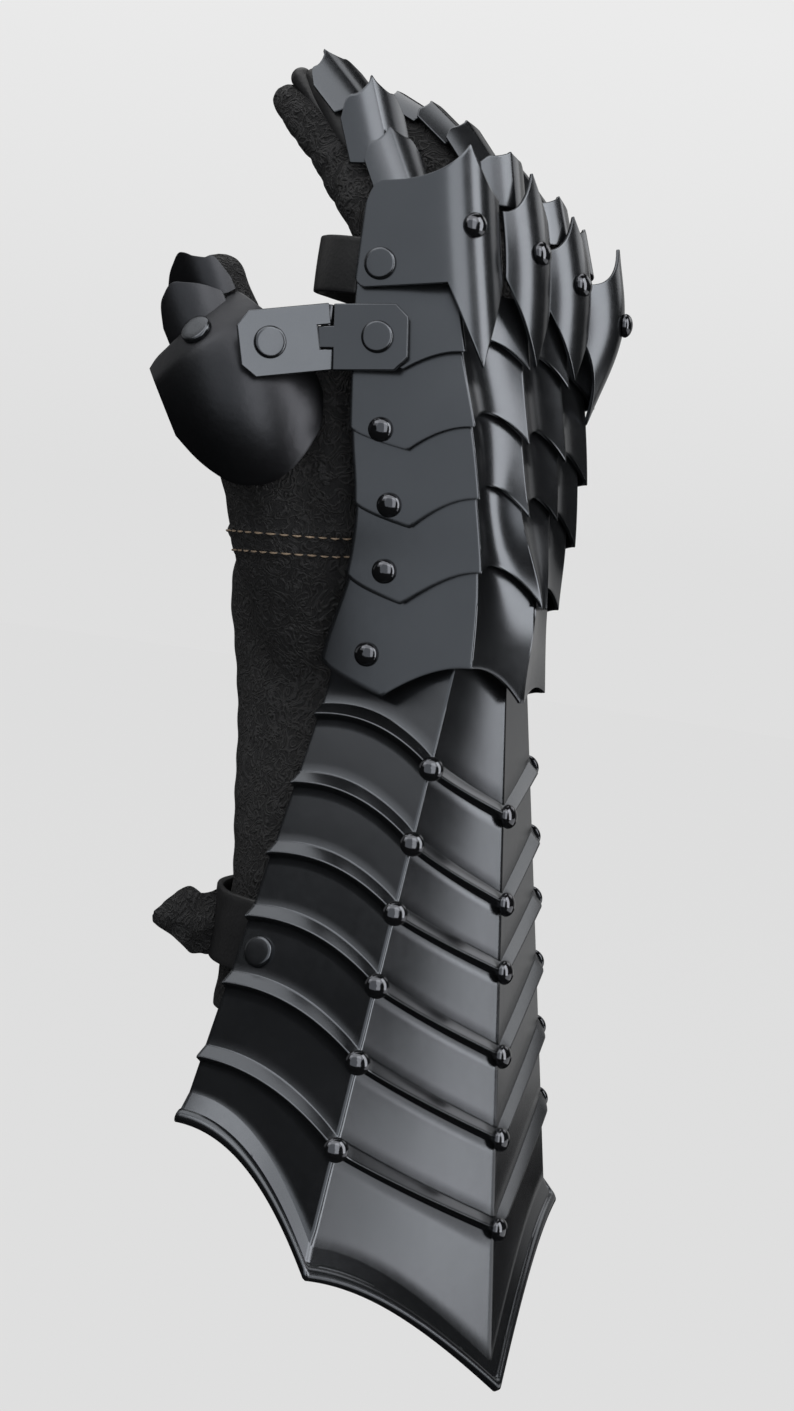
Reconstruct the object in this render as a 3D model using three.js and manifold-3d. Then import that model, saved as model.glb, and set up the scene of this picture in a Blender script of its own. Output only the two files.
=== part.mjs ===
// Armoured gauntlet for a right hand: a ribbed steel cuff, shingled hand lames, knuckle plates,
// finger scales and a hinged thumb guard, worn over a suede glove. Millimetres.
// +Z runs along the forearm to the fingers, -Y is the back of the hand, -X is the thumb side.
// The origin is the middle of the wearer's wrist.
import * as THREE from "three";
import Module from "manifold-3d";
import { mergeVertices } from "three/addons/utils/BufferGeometryUtils.js";

const wasm = await Module();
wasm.setup();

// ---- Driving sizes ----
const plateThickness = 1.2;
const leatherThickness = 1.8;
const clearance = 0.35;

// Cuff: five edges (palm edge, side ridge, centre ridge, side ridge, palm edge), all straight.
const cuffTop = 30;
const ribHalfHeight = 4.4;
const ribRise = 2.6;
const hemHeight = 10;
const hemFlare = 2.6;
const cuffInset = 2;
const hemSideArch = 9;
const hemBackArch = 7;
const ribSideArch = 8.5;
const hem = { palmEdge: -125.8, sideRidge: -157.2, centreRidge: -198.3 };
const ribs = [
  { palmEdge: 1.4, sideRidge: -8.3, centreRidge: -21.5 },
  { palmEdge: -20.2, sideRidge: -30.9, centreRidge: -48.5 },
  { palmEdge: -42.3, sideRidge: -51.6, centreRidge: -69.4 },
  { palmEdge: -62.1, sideRidge: -73.0, centreRidge: -95.2 },
  { palmEdge: -82.8, sideRidge: -95.3, centreRidge: -120.7 },
  { palmEdge: -105.6, sideRidge: -120.4, centreRidge: -148.3 },
];

// Back of the hand: six edges from the thumb side to the little-finger side, each as z, x, y.
const handEdges = {
  thumbEdge: [[0, -35, 18.5], [22, -36.5, 17.5], [49, -40, 10.7], [68, -44, 9], [90, -48, 12], [115, -52, 13],
    [145, -54, 14]],
  ridge1: [[0, -25, -29], [22, -25.5, -29.4], [52, -27.5, -29.3], [74, -32, -27.5], [95, -36, -24.7],
    [116, -38, -19], [145, -40, -13]],
  ridge2: [[0, -0.9, -33], [14, -0.9, -33.2], [44, -1.3, -36.4], [71, -12, -34], [93, -12, -30.1],
    [115, -12, -26.4], [145, -12, -23]],
  ridge3: [[0, 0.9, -33], [14, 0.9, -33.2], [44, 1.3, -36.4], [71, 11, -31], [90, 12, -29.8], [112, 12, -27.1],
    [145, 13, -23]],
  ridge4: [[0, 28.5, -25], [16, 28.5, -25.2], [43, 29, -25.3], [64, 32, -26], [84, 35, -25], [109, 37, -22.7],
    [145, 40, -17]],
  outerEdge: [[0, 36, 18.5], [15, 37, 18], [42, 41, 12], [60, 44, 9], [82, 47, 10], [105, 50, 11],
    [145, 53, 13]],
};
const valleyDepths = [-0.6, 3.4, 2.6, 3.0, -0.6];
const shingle = 2.8;
const lamePitch = 22;
const scallopRise = 3.2;
// Heights of each lame's lower edge.
const lames = [
  { name: "lame_1", nominal: 116, thumbEdge: 116, lobe: 109.2, ridge1: 116.9, ridge2: 115.2, ridge3: 112.5,
    ridge4: 108.8, outerLobe: 99, outerEdge: 106, top: 136 },
  { name: "lame_2", nominal: 94, thumbEdge: 90, lobe: 85.4, ridge1: 95.2, ridge2: 92.9, ridge3: 89.7,
    ridge4: 84.3, outerLobe: 75, outerEdge: 81, top: 124 },
  { name: "lame_3", nominal: 72, thumbEdge: 68, lobe: 62.4, ridge1: 74, ridge2: 71, ridge3: 71.3,
    ridge4: 64.1, outerLobe: 53, outerEdge: 59, top: 106 },
  { name: "lame_4", nominal: 50, thumbEdge: 46.5, lobe: 39.2, ridge1: 52.1, ridge2: 44.3, ridge3: 44.3,
    ridge4: 43.4, outerLobe: 31, outerEdge: 38, top: 84 },
  { name: "lame_5", nominal: 23, thumbEdge: 19.5, lobe: 10.6, ridge1: 23.3, ridge2: 14, ridge3: 14,
    ridge4: 16.5, outerLobe: 4, outerEdge: 12, top: 62 },
];

// Knuckle plates: the crest as z, x, y from its lower point to its apex, its turn toward the thumb
// in degrees, half width, curl across, the side corners and the rivet's height.
const knuckles = [
  { name: "knuckle_index", crest: [[112.6, -38, -25.6], [153.8, -39, -15.8], [177.7, -40, -10.8]], roll: 30,
    half: 12.5, curl: 0.04, lowCorner: 140, highCorner: 164, rivet: 154, flap: true },
  { name: "knuckle_middle", crest: [[116.3, -12, -28.5], [150.6, -12, -23.9], [174.9, -12, -16.8]], roll: 5,
    half: 12.4, curl: 0.03, lowCorner: 141, highCorner: 161, rivet: 150.6, flap: false },
  { name: "knuckle_ring", crest: [[115.4, 13, -28.4], [145.4, 14, -25], [166.6, 14, -18.6]], roll: 5,
    half: 12.2, curl: 0.03, lowCorner: 136, highCorner: 154, rivet: 145.2, flap: false },
  { name: "knuckle_little", crest: [[103, 37, -26.4], [136.8, 41, -27.4], [161.3, 43, -20.6]], roll: -20,
    half: 13, curl: 0.05, lowCorner: 131, highCorner: 147, rivet: 136.7, flap: false },
];
const flap = { edgeX: -54, edgeY: 14, low: 131, high: 163.6 };
const flapRivet = { u: -0.823, z: 139 };

// Finger scales: apex y and z, pitch of the ridge from +Z toward the palm in degrees, length, half width.
const fingers = {
  index: { x: -43, roll: 31, cut: 1 },
  middle: { x: -13.5, roll: 12, cut: 0.5 },
  ring: { x: 13.5, roll: 5, cut: 0.8 },
  little: { x: 42, roll: -12, cut: 0.8 },
};
const scales = [
  { name: "scale_index_1", finger: "index", y: 17, z: 181.7, pitch: 31, length: 21, half: 10 },
  { name: "scale_index_2", finger: "index", y: 26, z: 196.5, pitch: 24, length: 28.5, half: 11.2 },
  { name: "scale_index_3", finger: "index", y: 45, z: 203.8, pitch: 49, length: 24, half: 9.3 },
  { name: "scale_middle_1", finger: "middle", y: -8.9, z: 180.8, pitch: 15, length: 18, half: 10 },
  { name: "scale_middle_2", finger: "middle", y: 8.8, z: 189.8, pitch: 44, length: 21, half: 9.5 },
  { name: "scale_middle_3", finger: "middle", y: 22.8, z: 195.2, pitch: 55, length: 20, half: 8.4 },
  { name: "scale_middle_4", finger: "middle", y: 36, z: 197.8, pitch: 66, length: 17, half: 8 },
  { name: "scale_ring_1", finger: "ring", y: -12.5, z: 172.5, pitch: 21, length: 17, half: 11.4 },
  { name: "scale_ring_2", finger: "ring", y: 4.5, z: 181.5, pitch: 46, length: 23, half: 11 },
  { name: "scale_ring_3", finger: "ring", y: 19, z: 186.5, pitch: 60, length: 18, half: 10.4 },
  { name: "scale_little_1", finger: "little", y: -13, z: 166, pitch: 21, length: 16, half: 10.6 },
  { name: "scale_little_2", finger: "little", y: 2.5, z: 173.5, pitch: 46, length: 21, half: 10 },
  { name: "scale_little_3", finger: "little", y: 15, z: 177.5, pitch: 60, length: 15.5, half: 9.4 },
];
const scaleRoof = 0.12;
const scaleCurl = 0.03;
const scaleTrim = 0.08;
// Outline of a scale: share of its half width, share of its length taken off the distal edge.
const scaleOutline = [[0, 0], [0.1, 0.07], [0.2, 0.11], [0.5, 0.185], [0.74, 0.2], [1, 0.42]];

// Thumb guard: dished plates in their own frame, a across, b along the thumb, n outward.
const thumbAcross = [0.489, -0.714, 0.501];
const thumbAlong = [-0.213, 0.461, 0.863];
const thumbOut = [-0.846, -0.528, 0.073];
// The fold bends a plate back beyond the line b = at + slope * a.
const thumbPlates = [
  { name: "thumb_plate", centre: [-73.5, 37.8, 97], curl: 0.022, bow: 0.006,
    fold: { at: 16.3, slope: 0.18, bend: 0.5 },
    outline: [[-22.5, -6, 16.5], [-20, -13, 18.1], [-14.7, -22.5, 20], [-5, -29.3, 23.4], [5.4, -29, 27],
      [10.7, -26.5, 28.9], [15.3, -23.3, 21.5], [20.7, -17.8, 9], [24, -10, -5]] },
  { name: "thumb_plate_middle", centre: [-71.6, 55.2, 114.8], curl: 0.035, bow: 0.006,
    outline: [[-11.5, -4, 3], [-10, -8, 8.5], [-7, -10, 12.6], [-4, -11, 14.4], [0, -9, 12.9], [5, -4, 10.3],
      [9.5, 1, 6.9]] },
  { name: "thumb_plate_tip", centre: [-65.8, 55.6, 125.8], curl: 0.055, bow: 0.006,
    outline: [[-13.8, 4, 7.5], [-12, 3, 10.5], [-9.6, 2, 12.9], [-6.6, 1, 14.9], [-3.1, -1, 12.1],
      [0, -2, 10.2], [3.3, -2.5, 8.7], [5.4, -2, 1.5]] },
];
const thumbRivet = { a: -4.7, b: 20.6 };

// Thumb hinge on the first lame, with its pin just past that lame's edge.
const leaf = { length: 26, height: 20, thickness: 1.5, chamfer: 4, overhang: 8 };
const thumbLeafDirection = [-0.7, 0.685, -0.25];
const handLeafTilt = 7.5;

// Glove body: z, centre y, half width, half depth.
const gloveBody = [[-97, 14, 37.5, 38.5], [-56, 14, 36, 38.5], [-25, 17.5, 31, 42], [0, 21, 26.2, 45],
  [20, 24, 24.2, 47], [34, 26, 26.4, 48], [50, 25, 32, 46], [68, 21, 35, 40], [90, 13, 39.5, 31],
  [115, 10.5, 42.5, 24], [140, 11, 44.5, 18.5], [152, 11, 44.5, 16], [158, 11, 41, 11]];
// Digits of the glove: x, y, z, radius along each from its root to its tip.
const digits = {
  index: [[-36, 10, 146, 12.5], [-42, 25.2, 161, 9], [-42.5, 37.8, 174.5, 8.3], [-43, 50.5, 185.5, 7.9],
    [-43, 56, 188.5, 6.8]],
  middle: [[-13, 5, 150, 12], [-13.3, 11, 169, 9.2], [-13.5, 22, 179, 8.6], [-13.5, 34, 182.5, 8.2],
    [-13.5, 45, 179, 7.6], [-13.5, 50, 174, 6.2]],
  ring: [[13, 5, 146, 12], [13.3, 9, 161, 9.2], [13.5, 19, 171, 8.6], [13.5, 31, 173.5, 8.2],
    [13.5, 41, 169, 7.6], [13.5, 45, 163, 6.2]],
  little: [[34, 5, 142, 11], [41, 8, 155, 8.6], [42, 17, 162.5, 8], [42, 28, 164, 7.4], [42, 36, 159, 6]],
  thumb: [[-4, 30, 8, 17], [-19, 36, 40, 19.5], [-32, 40, 62, 19.5], [-44, 43.5, 80, 16.5],
    [-53.5, 50.6, 99, 13.6], [-55.2, 57.2, 114, 12], [-56.8, 63, 127, 9], [-57.5, 63.5, 134, 7.3]],
};

// Straps as paths in x and y round the palm side, and their heights.
const wristStrap = { low: -81, high: -58, thickness: 2,
  half: [[-40.5, 4], [-42.2, 15], [-42.5, 25], [-39, 34.5], [-31, 43.2], [-18, 51.5], [0, 55.2]] };
const palmStrap = { low: 125.5, high: 143, thickness: 2,
  half: [[-46.8, 15.2], [-46.8, 20], [-45.5, 26.5], [-40, 33.2], [-28, 36.4], [-14, 37.2], [0, 37.7]] };
const tail = { root: [-34.2, 45], tip: [-44.2, 60.6] };

const dome = { radius: 3.8, rise: 2.7 };
const flat = { radius: 4.9, rise: 1.1 };

// ---- Colours ----
const steel = 0x2b2d31;
const rivetSteel = 0x1d1e21;
const suede = 0x17171a;
const strapLeather = 0x121214;

// ---- Small helpers ----
const mix = (a, b, t) => a + (b - a) * t;
const mixPoint = (a, b, t) => a.map((value, i) => mix(value, b[i], t));
const plus = (a, b, scale = 1) => a.map((value, i) => value + b[i] * scale);
const minus = (a, b) => a.map((value, i) => value - b[i]);
const size = (a) => Math.hypot(...a);
const unit = (a) => a.map((value) => value / size(a));
const cross = (a, b) => [a[1] * b[2] - a[2] * b[1], a[2] * b[0] - a[0] * b[2], a[0] * b[1] - a[1] * b[0]];
const range = (count) => Array.from({ length: count }, (_, i) => i);

// A row of a table whose first column is the key, at a key between two rows.
function lookup(table, key) {
  if (key <= table[0][0]) {
    return table[0].slice(1);
  }
  for (let i = 1; i < table.length; i++) {
    if (key <= table[i][0]) {
      const share = (key - table[i - 1][0]) / (table[i][0] - table[i - 1][0]);
      return mixPoint(table[i - 1].slice(1), table[i].slice(1), share);
    }
  }
  return table[table.length - 1].slice(1);
}

function geometryOf(points, triangles) {
  const geometry = new THREE.BufferGeometry();
  geometry.setAttribute("position", new THREE.BufferAttribute(new Float32Array(points.flat()), 3));
  geometry.setIndex(triangles.flat());
  const merged = mergeVertices(geometry, 1e-4);
  let volume = 0;
  const p = merged.attributes.position.array;
  const index = merged.index.array;
  for (let i = 0; i < index.length; i += 3) {
    const [a, b, c] = [0, 1, 2].map((k) => Array.from(p.slice(index[i + k] * 3, index[i + k] * 3 + 3)));
    const n = cross(b, c);
    volume += a[0] * n[0] + a[1] * n[1] + a[2] * n[2];
  }
  if (volume < 0) {
    for (let i = 0; i < index.length; i += 3) {
      [index[i + 1], index[i + 2]] = [index[i + 2], index[i + 1]];
    }
  }
  return merged;
}

// Closed sheet between an outer and an inner surface, both over the same columns and rows.
function sheet(columns, rows, outer, inner) {
  const count = rows.length;
  const points = [];
  for (const surface of [outer, inner]) {
    for (const u of columns) {
      for (const v of rows) {
        points.push(surface(u, v));
      }
    }
  }
  const half = columns.length * count;
  const triangles = [];
  const quad = (a, b, c, d) => triangles.push([a, b, c], [a, c, d]);
  for (let i = 0; i + 1 < columns.length; i++) {
    for (let j = 0; j + 1 < count; j++) {
      const a = i * count + j;
      quad(a, a + count, a + count + 1, a + 1);
      quad(half + a, half + a + 1, half + a + count + 1, half + a + count);
    }
    for (const [j, flip] of [[0, false], [count - 1, true]]) {
      const a = i * count + j;
      const ring = [a, half + a, half + a + count, a + count];
      quad(...(flip ? ring.reverse() : ring));
    }
  }
  for (let j = 0; j + 1 < count; j++) {
    for (const [i, flip] of [[0, true], [columns.length - 1, false]]) {
      const a = i * count + j;
      const ring = [a, half + a, half + a + 1, a + 1];
      quad(...(flip ? ring.reverse() : ring));
    }
  }
  return geometryOf(points, triangles);
}

// Closed body through a row of rings with the same number of points.
function loft(rings) {
  const count = rings[0].length;
  const points = rings.flat();
  const triangles = [];
  for (let i = 0; i + 1 < rings.length; i++) {
    for (let j = 0; j < count; j++) {
      const a = i * count + j;
      const b = i * count + ((j + 1) % count);
      triangles.push([a, b, b + count], [a, b + count, a + count]);
    }
  }
  for (const [ring, flip] of [[0, true], [rings.length - 1, false]]) {
    const middle = rings[ring].reduce((sum, point) => plus(sum, point, 1 / count), [0, 0, 0]);
    points.push(middle);
    for (let j = 0; j < count; j++) {
      const pair = [ring * count + j, ring * count + ((j + 1) % count)];
      triangles.push(flip ? [points.length - 1, pair[1], pair[0]] : [points.length - 1, ...pair]);
    }
  }
  return geometryOf(points, triangles);
}

function toSolid(geometry) {
  const merged = mergeVertices(geometry, 1e-4);
  return new wasm.Manifold(new wasm.Mesh({ numProp: 3, vertProperties: merged.attributes.position.array,
    triVerts: new Uint32Array(merged.index.array) }));
}

function fromSolid(body) {
  const mesh = body.getMesh();
  const geometry = new THREE.BufferGeometry();
  geometry.setAttribute("position", new THREE.BufferAttribute(new Float32Array(mesh.vertProperties), 3));
  geometry.setIndex(Array.from(mesh.triVerts));
  return geometry;
}

const group = new THREE.Group();
group.name = "armoured_gauntlet";

function add(name, geometry, color, roughness, metalness) {
  const flatShaded = geometry.index ? geometry.toNonIndexed() : geometry;
  flatShaded.computeVertexNormals();
  const mesh = new THREE.Mesh(flatShaded, new THREE.MeshStandardMaterial({ color, roughness, metalness }));
  mesh.name = name;
  group.add(mesh);
}
const addSteel = (name, geometry) => add(name, geometry, steel, 0.4, 0.8);

// Outline of plates that follow a set of edges: u counts edges, off lifts the point off the plate.
function edgePoint(points, depths, u, off) {
  const normals = points.slice(1).map((point, i) => {
    const along = unit(minus(point, points[i]));
    return [along[1], -along[0]];
  });
  const corner = (i) => {
    const a = normals[Math.max(i - 1, 0)];
    const b = normals[Math.min(i, normals.length - 1)];
    const scale = 1 / (1 + a[0] * b[0] + a[1] * b[1]);
    return [(a[0] + b[0]) * scale, (a[1] + b[1]) * scale];
  };
  const i = Math.min(Math.floor(u), points.length - 2);
  const t = u - i;
  const sink = -depths[i] * Math.sin(Math.PI * t ** 0.85);
  const base = mixPoint(points[i], points[i + 1], t);
  const lift = mixPoint(corner(i), corner(i + 1), t);
  return plus(plus(base, lift, off), normals[i], sink);
}

// Point and outward normal of a surface given by two parameters.
function frameOn(surface, u, v, stepU, stepV) {
  const along = minus(surface(u + stepU, v), surface(u - stepU, v));
  const up = minus(surface(u, v + stepV), surface(u, v - stepV));
  return { point: surface(u, v), normal: unit(cross(along, up)) };
}

function turned(geometry, point, normal) {
  const turn = new THREE.Quaternion().setFromUnitVectors(
    new THREE.Vector3(0, 0, 1),
    new THREE.Vector3(...normal),
  );
  return geometry.applyQuaternion(turn).translate(...point);
}

// Rivet head with its base at the origin and its head along +Z.
function rivetHead(kind, sunk = 0) {
  const profile = kind === dome
    ? [[0, -sunk], [dome.radius, -sunk], [dome.radius * 0.93, dome.rise * 0.42],
      [dome.radius * 0.6, dome.rise * 0.85], [0, dome.rise]]
    : [[0, -sunk], [flat.radius, -sunk], [flat.radius, flat.rise * 0.6], [flat.radius - 0.8, flat.rise],
      [0, flat.rise]];
  const lathe = new THREE.LatheGeometry(profile.map(([r, z]) => new THREE.Vector2(r, z)), 12);
  lathe.deleteAttribute("normal");
  lathe.deleteAttribute("uv");
  const merged = mergeVertices(lathe.rotateX(Math.PI / 2), 1e-4);
  const index = [];
  for (let i = 0; i < merged.index.count; i += 3) {
    const face = [0, 1, 2].map((k) => merged.index.getX(i + k));
    if (new Set(face).size === 3) {
      index.push(face);
    }
  }
  const points = range(merged.attributes.position.count).map((i) => [merged.attributes.position.getX(i),
    merged.attributes.position.getY(i), merged.attributes.position.getZ(i)]);
  return geometryOf(points, index);
}

function addRivet(name, kind, place) {
  const geometry = turned(rivetHead(kind), plus(place.point, place.normal, clearance), place.normal);
  add(name, geometry, rivetSteel, 0.25, 0.9);
}

// Joins rivet heads to the plate they sit on.
function withRivets(geometry, kind, places) {
  let body = toSolid(geometry);
  for (const place of places) {
    body = body.add(toSolid(turned(rivetHead(kind, 0.5), place.point, place.normal)));
  }
  return fromSolid(body);
}

// ---- Cuff ----
function cuffEdges(z) {
  const upper = Math.min(z, 22);
  const side = 30.4 - 0.282 * upper;
  const back = 24.7 - 0.054 * upper;
  const centre = 32.7 - 0.148 * upper;
  const palm = 33.25 - 0.273 * Math.min(z, 10);
  const depth = 19.3 - 0.045 * upper;
  return [[-palm, depth], [-side, -back], [0, -centre], [side, -back], [palm, depth]];
}

// Height of a line that runs across the cuff, from its values at the edges and its arches.
function cuffLine(line, u, sideArch, backArch) {
  const across = Math.min(u, 4 - u);
  if (across <= 1) {
    return mix(line.palmEdge, line.sideRidge, across) + sideArch * 4 * across * (1 - across);
  }
  const t = across - 1;
  return mix(line.sideRidge, line.centreRidge, t) + backArch * 4 * t * (1 - t);
}

const ribRows = [[1, 0], [0, 1], [-1, 0]];
const cuffRows = [{ top: true }];
ribs.forEach((rib) => ribRows.forEach(([share, rise]) => cuffRows.push({ rib, share, rise })));
[[1, 0], [0.55, 0.35], [0.22, 0.85], [0, 1]].forEach(([share, flare]) => cuffRows.push({ share, flare }));

function cuffHeight(u, row) {
  if (row.top) {
    return cuffTop;
  }
  if (row.rib) {
    return cuffLine(row.rib, u, ribSideArch, 0) + row.share * ribHalfHeight;
  }
  return cuffLine(hem, u, hemSideArch, hemBackArch) + row.share * hemHeight;
}

function cuffPoint(u, z, off) {
  return [...edgePoint(cuffEdges(z), [0, 0, 0, 0], u, off - cuffInset), z];
}

const cuffColumns = [0, 0.18, 0.38, 0.6, 0.8, 1, 1.35, 1.7, 2];
const cuffAll = [...cuffColumns, ...cuffColumns.slice(0, -1).reverse().map((u) => 4 - u)];
const cuffSheet = sheet(
  cuffAll,
  cuffRows,
  (u, row) => cuffPoint(u, cuffHeight(u, row), (row.rise ?? 0) * ribRise + (row.flare ?? 0) * hemFlare),
  (u, row) => cuffPoint(u, cuffHeight(u, row), (row.flare ?? 0) * (hemFlare - 0.6) - plateThickness),
);

const cuffRivetPlace = (u, z) => frameOn((a, b) => cuffPoint(a, b, ribRise + 0.15), u, z, 0.05, 1);
const strapRivetPlace = (u, z) => frameOn((a, b) => cuffPoint(a, b, 0), u, z, 0.05, 1);

const strapRivetU = 0.13;
const strapRivetZ = -70.5;
const cuffWithRivets = withRivets(cuffSheet, dome, ribs.map((rib) => cuffRivetPlace(3, rib.sideRidge)));
addSteel("cuff", withRivets(cuffWithRivets, flat, [strapRivetPlace(4 - strapRivetU, strapRivetZ)]));
ribs.forEach((rib, i) => {
  addRivet("rivet_cuff_side_" + (i + 1), dome, cuffRivetPlace(1, rib.sideRidge));
  addRivet("rivet_cuff_centre_" + (i + 1), dome, cuffRivetPlace(2, rib.centreRidge));
});

// ---- Hand lames ----
function handPoint(u, z, off) {
  const edges = Object.values(handEdges).map((edge) => lookup(edge, z));
  const open = Math.min(1, Math.max(0, (z - 40) / 30));
  const deep = Math.min(1, Math.max(0.15, (z - 25) / 35));
  const depths = valleyDepths.map((depth, i) => depth * (i === 2 ? open : i === 1 || i === 3 ? deep : 1));
  return [...edgePoint(edges, depths, u, off), z];
}

// Lower edge of a lame: lobed on the flat sides, scalloped between the ridges.
function lameLow(lame, u) {
  const lobeAt = 0.44;
  const side = (edge, lobe, ridge, t) => t <= lobeAt
    ? mix(edge, lobe, Math.sqrt(t / lobeAt))
    : mix(lobe, ridge, 1 - (1 - (t - lobeAt) / (1 - lobeAt)) ** 1.8);
  if (u <= 1) {
    return side(lame.thumbEdge, lame.lobe, lame.ridge1, u);
  }
  if (u >= 4) {
    return side(lame.outerEdge, lame.outerLobe, lame.ridge4, 5 - u);
  }
  const marks = [lame.ridge1, lame.ridge2, lame.ridge3, lame.ridge4];
  const i = Math.min(Math.floor(u) - 1, 2);
  const t = u - 1 - i;
  const pinched = i === 1 && lame.ridge2 === lame.ridge3 ? 0 : 1;
  return mix(marks[i], marks[i + 1], t) + pinched * scallopRise * 2 * 4 * t * (1 - t);
}

function lamePoint(lame, u, z, off) {
  return handPoint(u, z, off - (shingle * (z - lame.nominal)) / lamePitch);
}

const lameSide = [0, 0.1, 0.25, 0.44, 0.6, 0.8, 1];
const lameSpan = [0.1, 0.3, 0.55, 0.8, 0.93, 1];
const lameColumns = [...lameSide, ...[1, 2, 3].flatMap((i) => lameSpan.map((t) => i + t)),
  ...lameSide.slice(0, -1).reverse().map((t) => 5 - t)];
const lameRows = [0, 0.25, 1];
const lameRivets = { lame_2: [0.25, 90.5], lame_3: [0.28, 68.5], lame_4: [0.28, 48.5], lame_5: [0.3, 22.5] };

for (const lame of lames) {
  const point = (off) => (u, v) => lamePoint(lame, u, mix(lameLow(lame, u), lame.top, v), off);
  const shape = sheet(lameColumns, lameRows, point(0), point(-plateThickness));
  const surface = (u, z) => lamePoint(lame, u, z, 0);
  const rivet = lameRivets[lame.name];
  if (rivet) {
    const outer = frameOn(surface, 5 - rivet[0], rivet[1] - 9, 0.03, 1);
    addSteel(lame.name, withRivets(shape, dome, [outer]));
    addRivet("rivet_" + lame.name, dome, frameOn(surface, rivet[0], rivet[1], 0.03, 1));
  } else {
    addSteel(lame.name, shape);
  }
}

// ---- Knuckle plates ----
// The u parameter runs from -1 at the thumb side over 0 at the crest to 1. A section is an arch that
// falls away as curl times the distance squared; the flap leaves it along its tangent.
function knucklePoint(plate, u, z, off) {
  const [x, y] = lookup(plate.crest, z);
  const [xu, yu] = lookup(plate.crest, z + 1);
  const roll = THREE.MathUtils.degToRad(plate.roll);
  const across = [Math.cos(roll), -Math.sin(roll)];
  const out = [-Math.sin(roll), -Math.cos(roll)];
  let reach = plate.half;
  let bend = plate.half;
  if (u < 0 && plate.flap) {
    const edge = [flap.edgeX - x, flap.edgeY - y];
    const drop = -(edge[0] * out[0] + edge[1] * out[1]);
    reach = -(edge[0] * across[0] + edge[1] * across[1]);
    bend = reach - Math.sqrt(reach * reach - drop / plate.curl);
  }
  const way = Math.abs(u) * reach;
  const bent = Math.min(way, bend);
  const fall = plate.curl * bent * (2 * way - bent);
  const side = Math.sign(u);
  const base = [x + across[0] * side * way - out[0] * fall, y + across[1] * side * way - out[1] * fall, z];
  const lean = 2 * plate.curl * bent * side;
  const sideways = unit([across[0] - out[0] * lean, across[1] - out[1] * lean, 0]);
  return plus(base, unit(cross(sideways, unit([xu - x, yu - y, 1]))), off);
}

function knuckleLow(plate, u) {
  const t = Math.abs(u);
  const point = plate.crest[0][0];
  if (u < 0 && plate.flap) {
    return t < 0.3 ? mix(point, flap.low + 5, t / 0.3) : mix(flap.low + 5, flap.low, (t - 0.3) / 0.7);
  }
  return mix(point, plate.lowCorner, t ** 0.9);
}

function knuckleHigh(plate, u) {
  const t = Math.abs(u);
  const apex = plate.crest[plate.crest.length - 1][0];
  if (u < 0 && plate.flap) {
    const rounded = t > 0.9 ? (t - 0.9) * 40 : 0;
    return flap.high + (apex - flap.high) * (1 - t) ** 2.2 - rounded;
  }
  return plate.highCorner + (apex - plate.highCorner) * (1 - t) ** 1.8;
}

const knuckleSide = [-1, -0.8, -0.6, -0.4, -0.2];
for (const plate of knuckles) {
  const left = plate.flap ? [-1, -0.96, -0.9, -0.6, -0.38, -0.29, -0.2, -0.1] : knuckleSide;
  const columns = [...left, 0, ...knuckleSide.slice().reverse().map((u) => -u)];
  const point = (off) => (u, v) => knucklePoint(plate, u, mix(knuckleLow(plate, u), knuckleHigh(plate, u), v), off);
  const rows = [0, 0.2, 0.4, 0.6, 0.8, 1];
  addSteel(plate.name, sheet(columns, rows, point(0), point(-plateThickness)));
  const surface = (u, z) => knucklePoint(plate, u, z, 0);
  addRivet("rivet_" + plate.name, dome, frameOn(surface, 0, plate.rivet, 0.1, 1));
  if (plate.flap) {
    addRivet("rivet_index_flap", flat, frameOn(surface, flapRivet.u, flapRivet.z, 0.03, 1));
  }
}

// ---- Dished plates ----
// A dish has a centre, three axes (across, along, out), a curl across, a bow along and a roof slope.
function dishPoint(dish, a, b, off) {
  const roof = dish.roof ?? 0;
  const bow = dish.bow ?? 0;
  const { at, slope, bend } = dish.fold ?? { at: 0, slope: 0, bend: 0 };
  const past = Math.max(0, b - at - slope * a);
  const turned = past > 0 ? bend : 0;
  const rise = -roof * Math.abs(a) - dish.curl * a * a - bow * b * b - bend * past;
  const lean = [roof * Math.sign(a) + 2 * dish.curl * a - turned * slope, 2 * bow * b + turned, 1];
  const [ua, ub, un] = unit(lean);
  const local = [a + ua * off, b + ub * off, rise + un * off];
  return plus(plus(plus(dish.centre, dish.across, local[0]), dish.along, local[1]), dish.out, local[2]);
}

function dishSheet(dish, rows, thickness) {
  const columns = dish.outline.map((row) => row[0]);
  const at = (off) => (a, v) => {
    const [low, high] = lookup(dish.outline, a);
    return dishPoint(dish, a, mix(low, high, v), off);
  };
  return sheet(columns, rows, at(0), at(-thickness));
}

for (const scale of scales) {
  const pitch = THREE.MathUtils.degToRad(scale.pitch);
  const { x, roll } = fingers[scale.finger];
  const turn = THREE.MathUtils.degToRad(roll);
  const flatOut = [0, -Math.cos(pitch), Math.sin(pitch)];
  const half = scaleOutline.map(([share, cut]) => [share * scale.half,
    -scale.length * (1 - scaleTrim * share * share), -cut * fingers[scale.finger].cut * scale.length]);
  const dish = {
    centre: [x, scale.y, scale.z],
    across: plus([Math.cos(turn), 0, 0], flatOut, Math.sin(turn)),
    along: [0, Math.sin(pitch), Math.cos(pitch)],
    out: plus([-Math.sin(turn), 0, 0], flatOut, Math.cos(turn)),
    roof: scaleRoof,
    curl: scaleCurl,
    outline: [...half.slice(1).reverse().map(([a, low, high]) => [-a, low, high]), ...half],
  };
  addSteel(scale.name, dishSheet(dish, [0, 0.5, 1], plateThickness));
}

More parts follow.
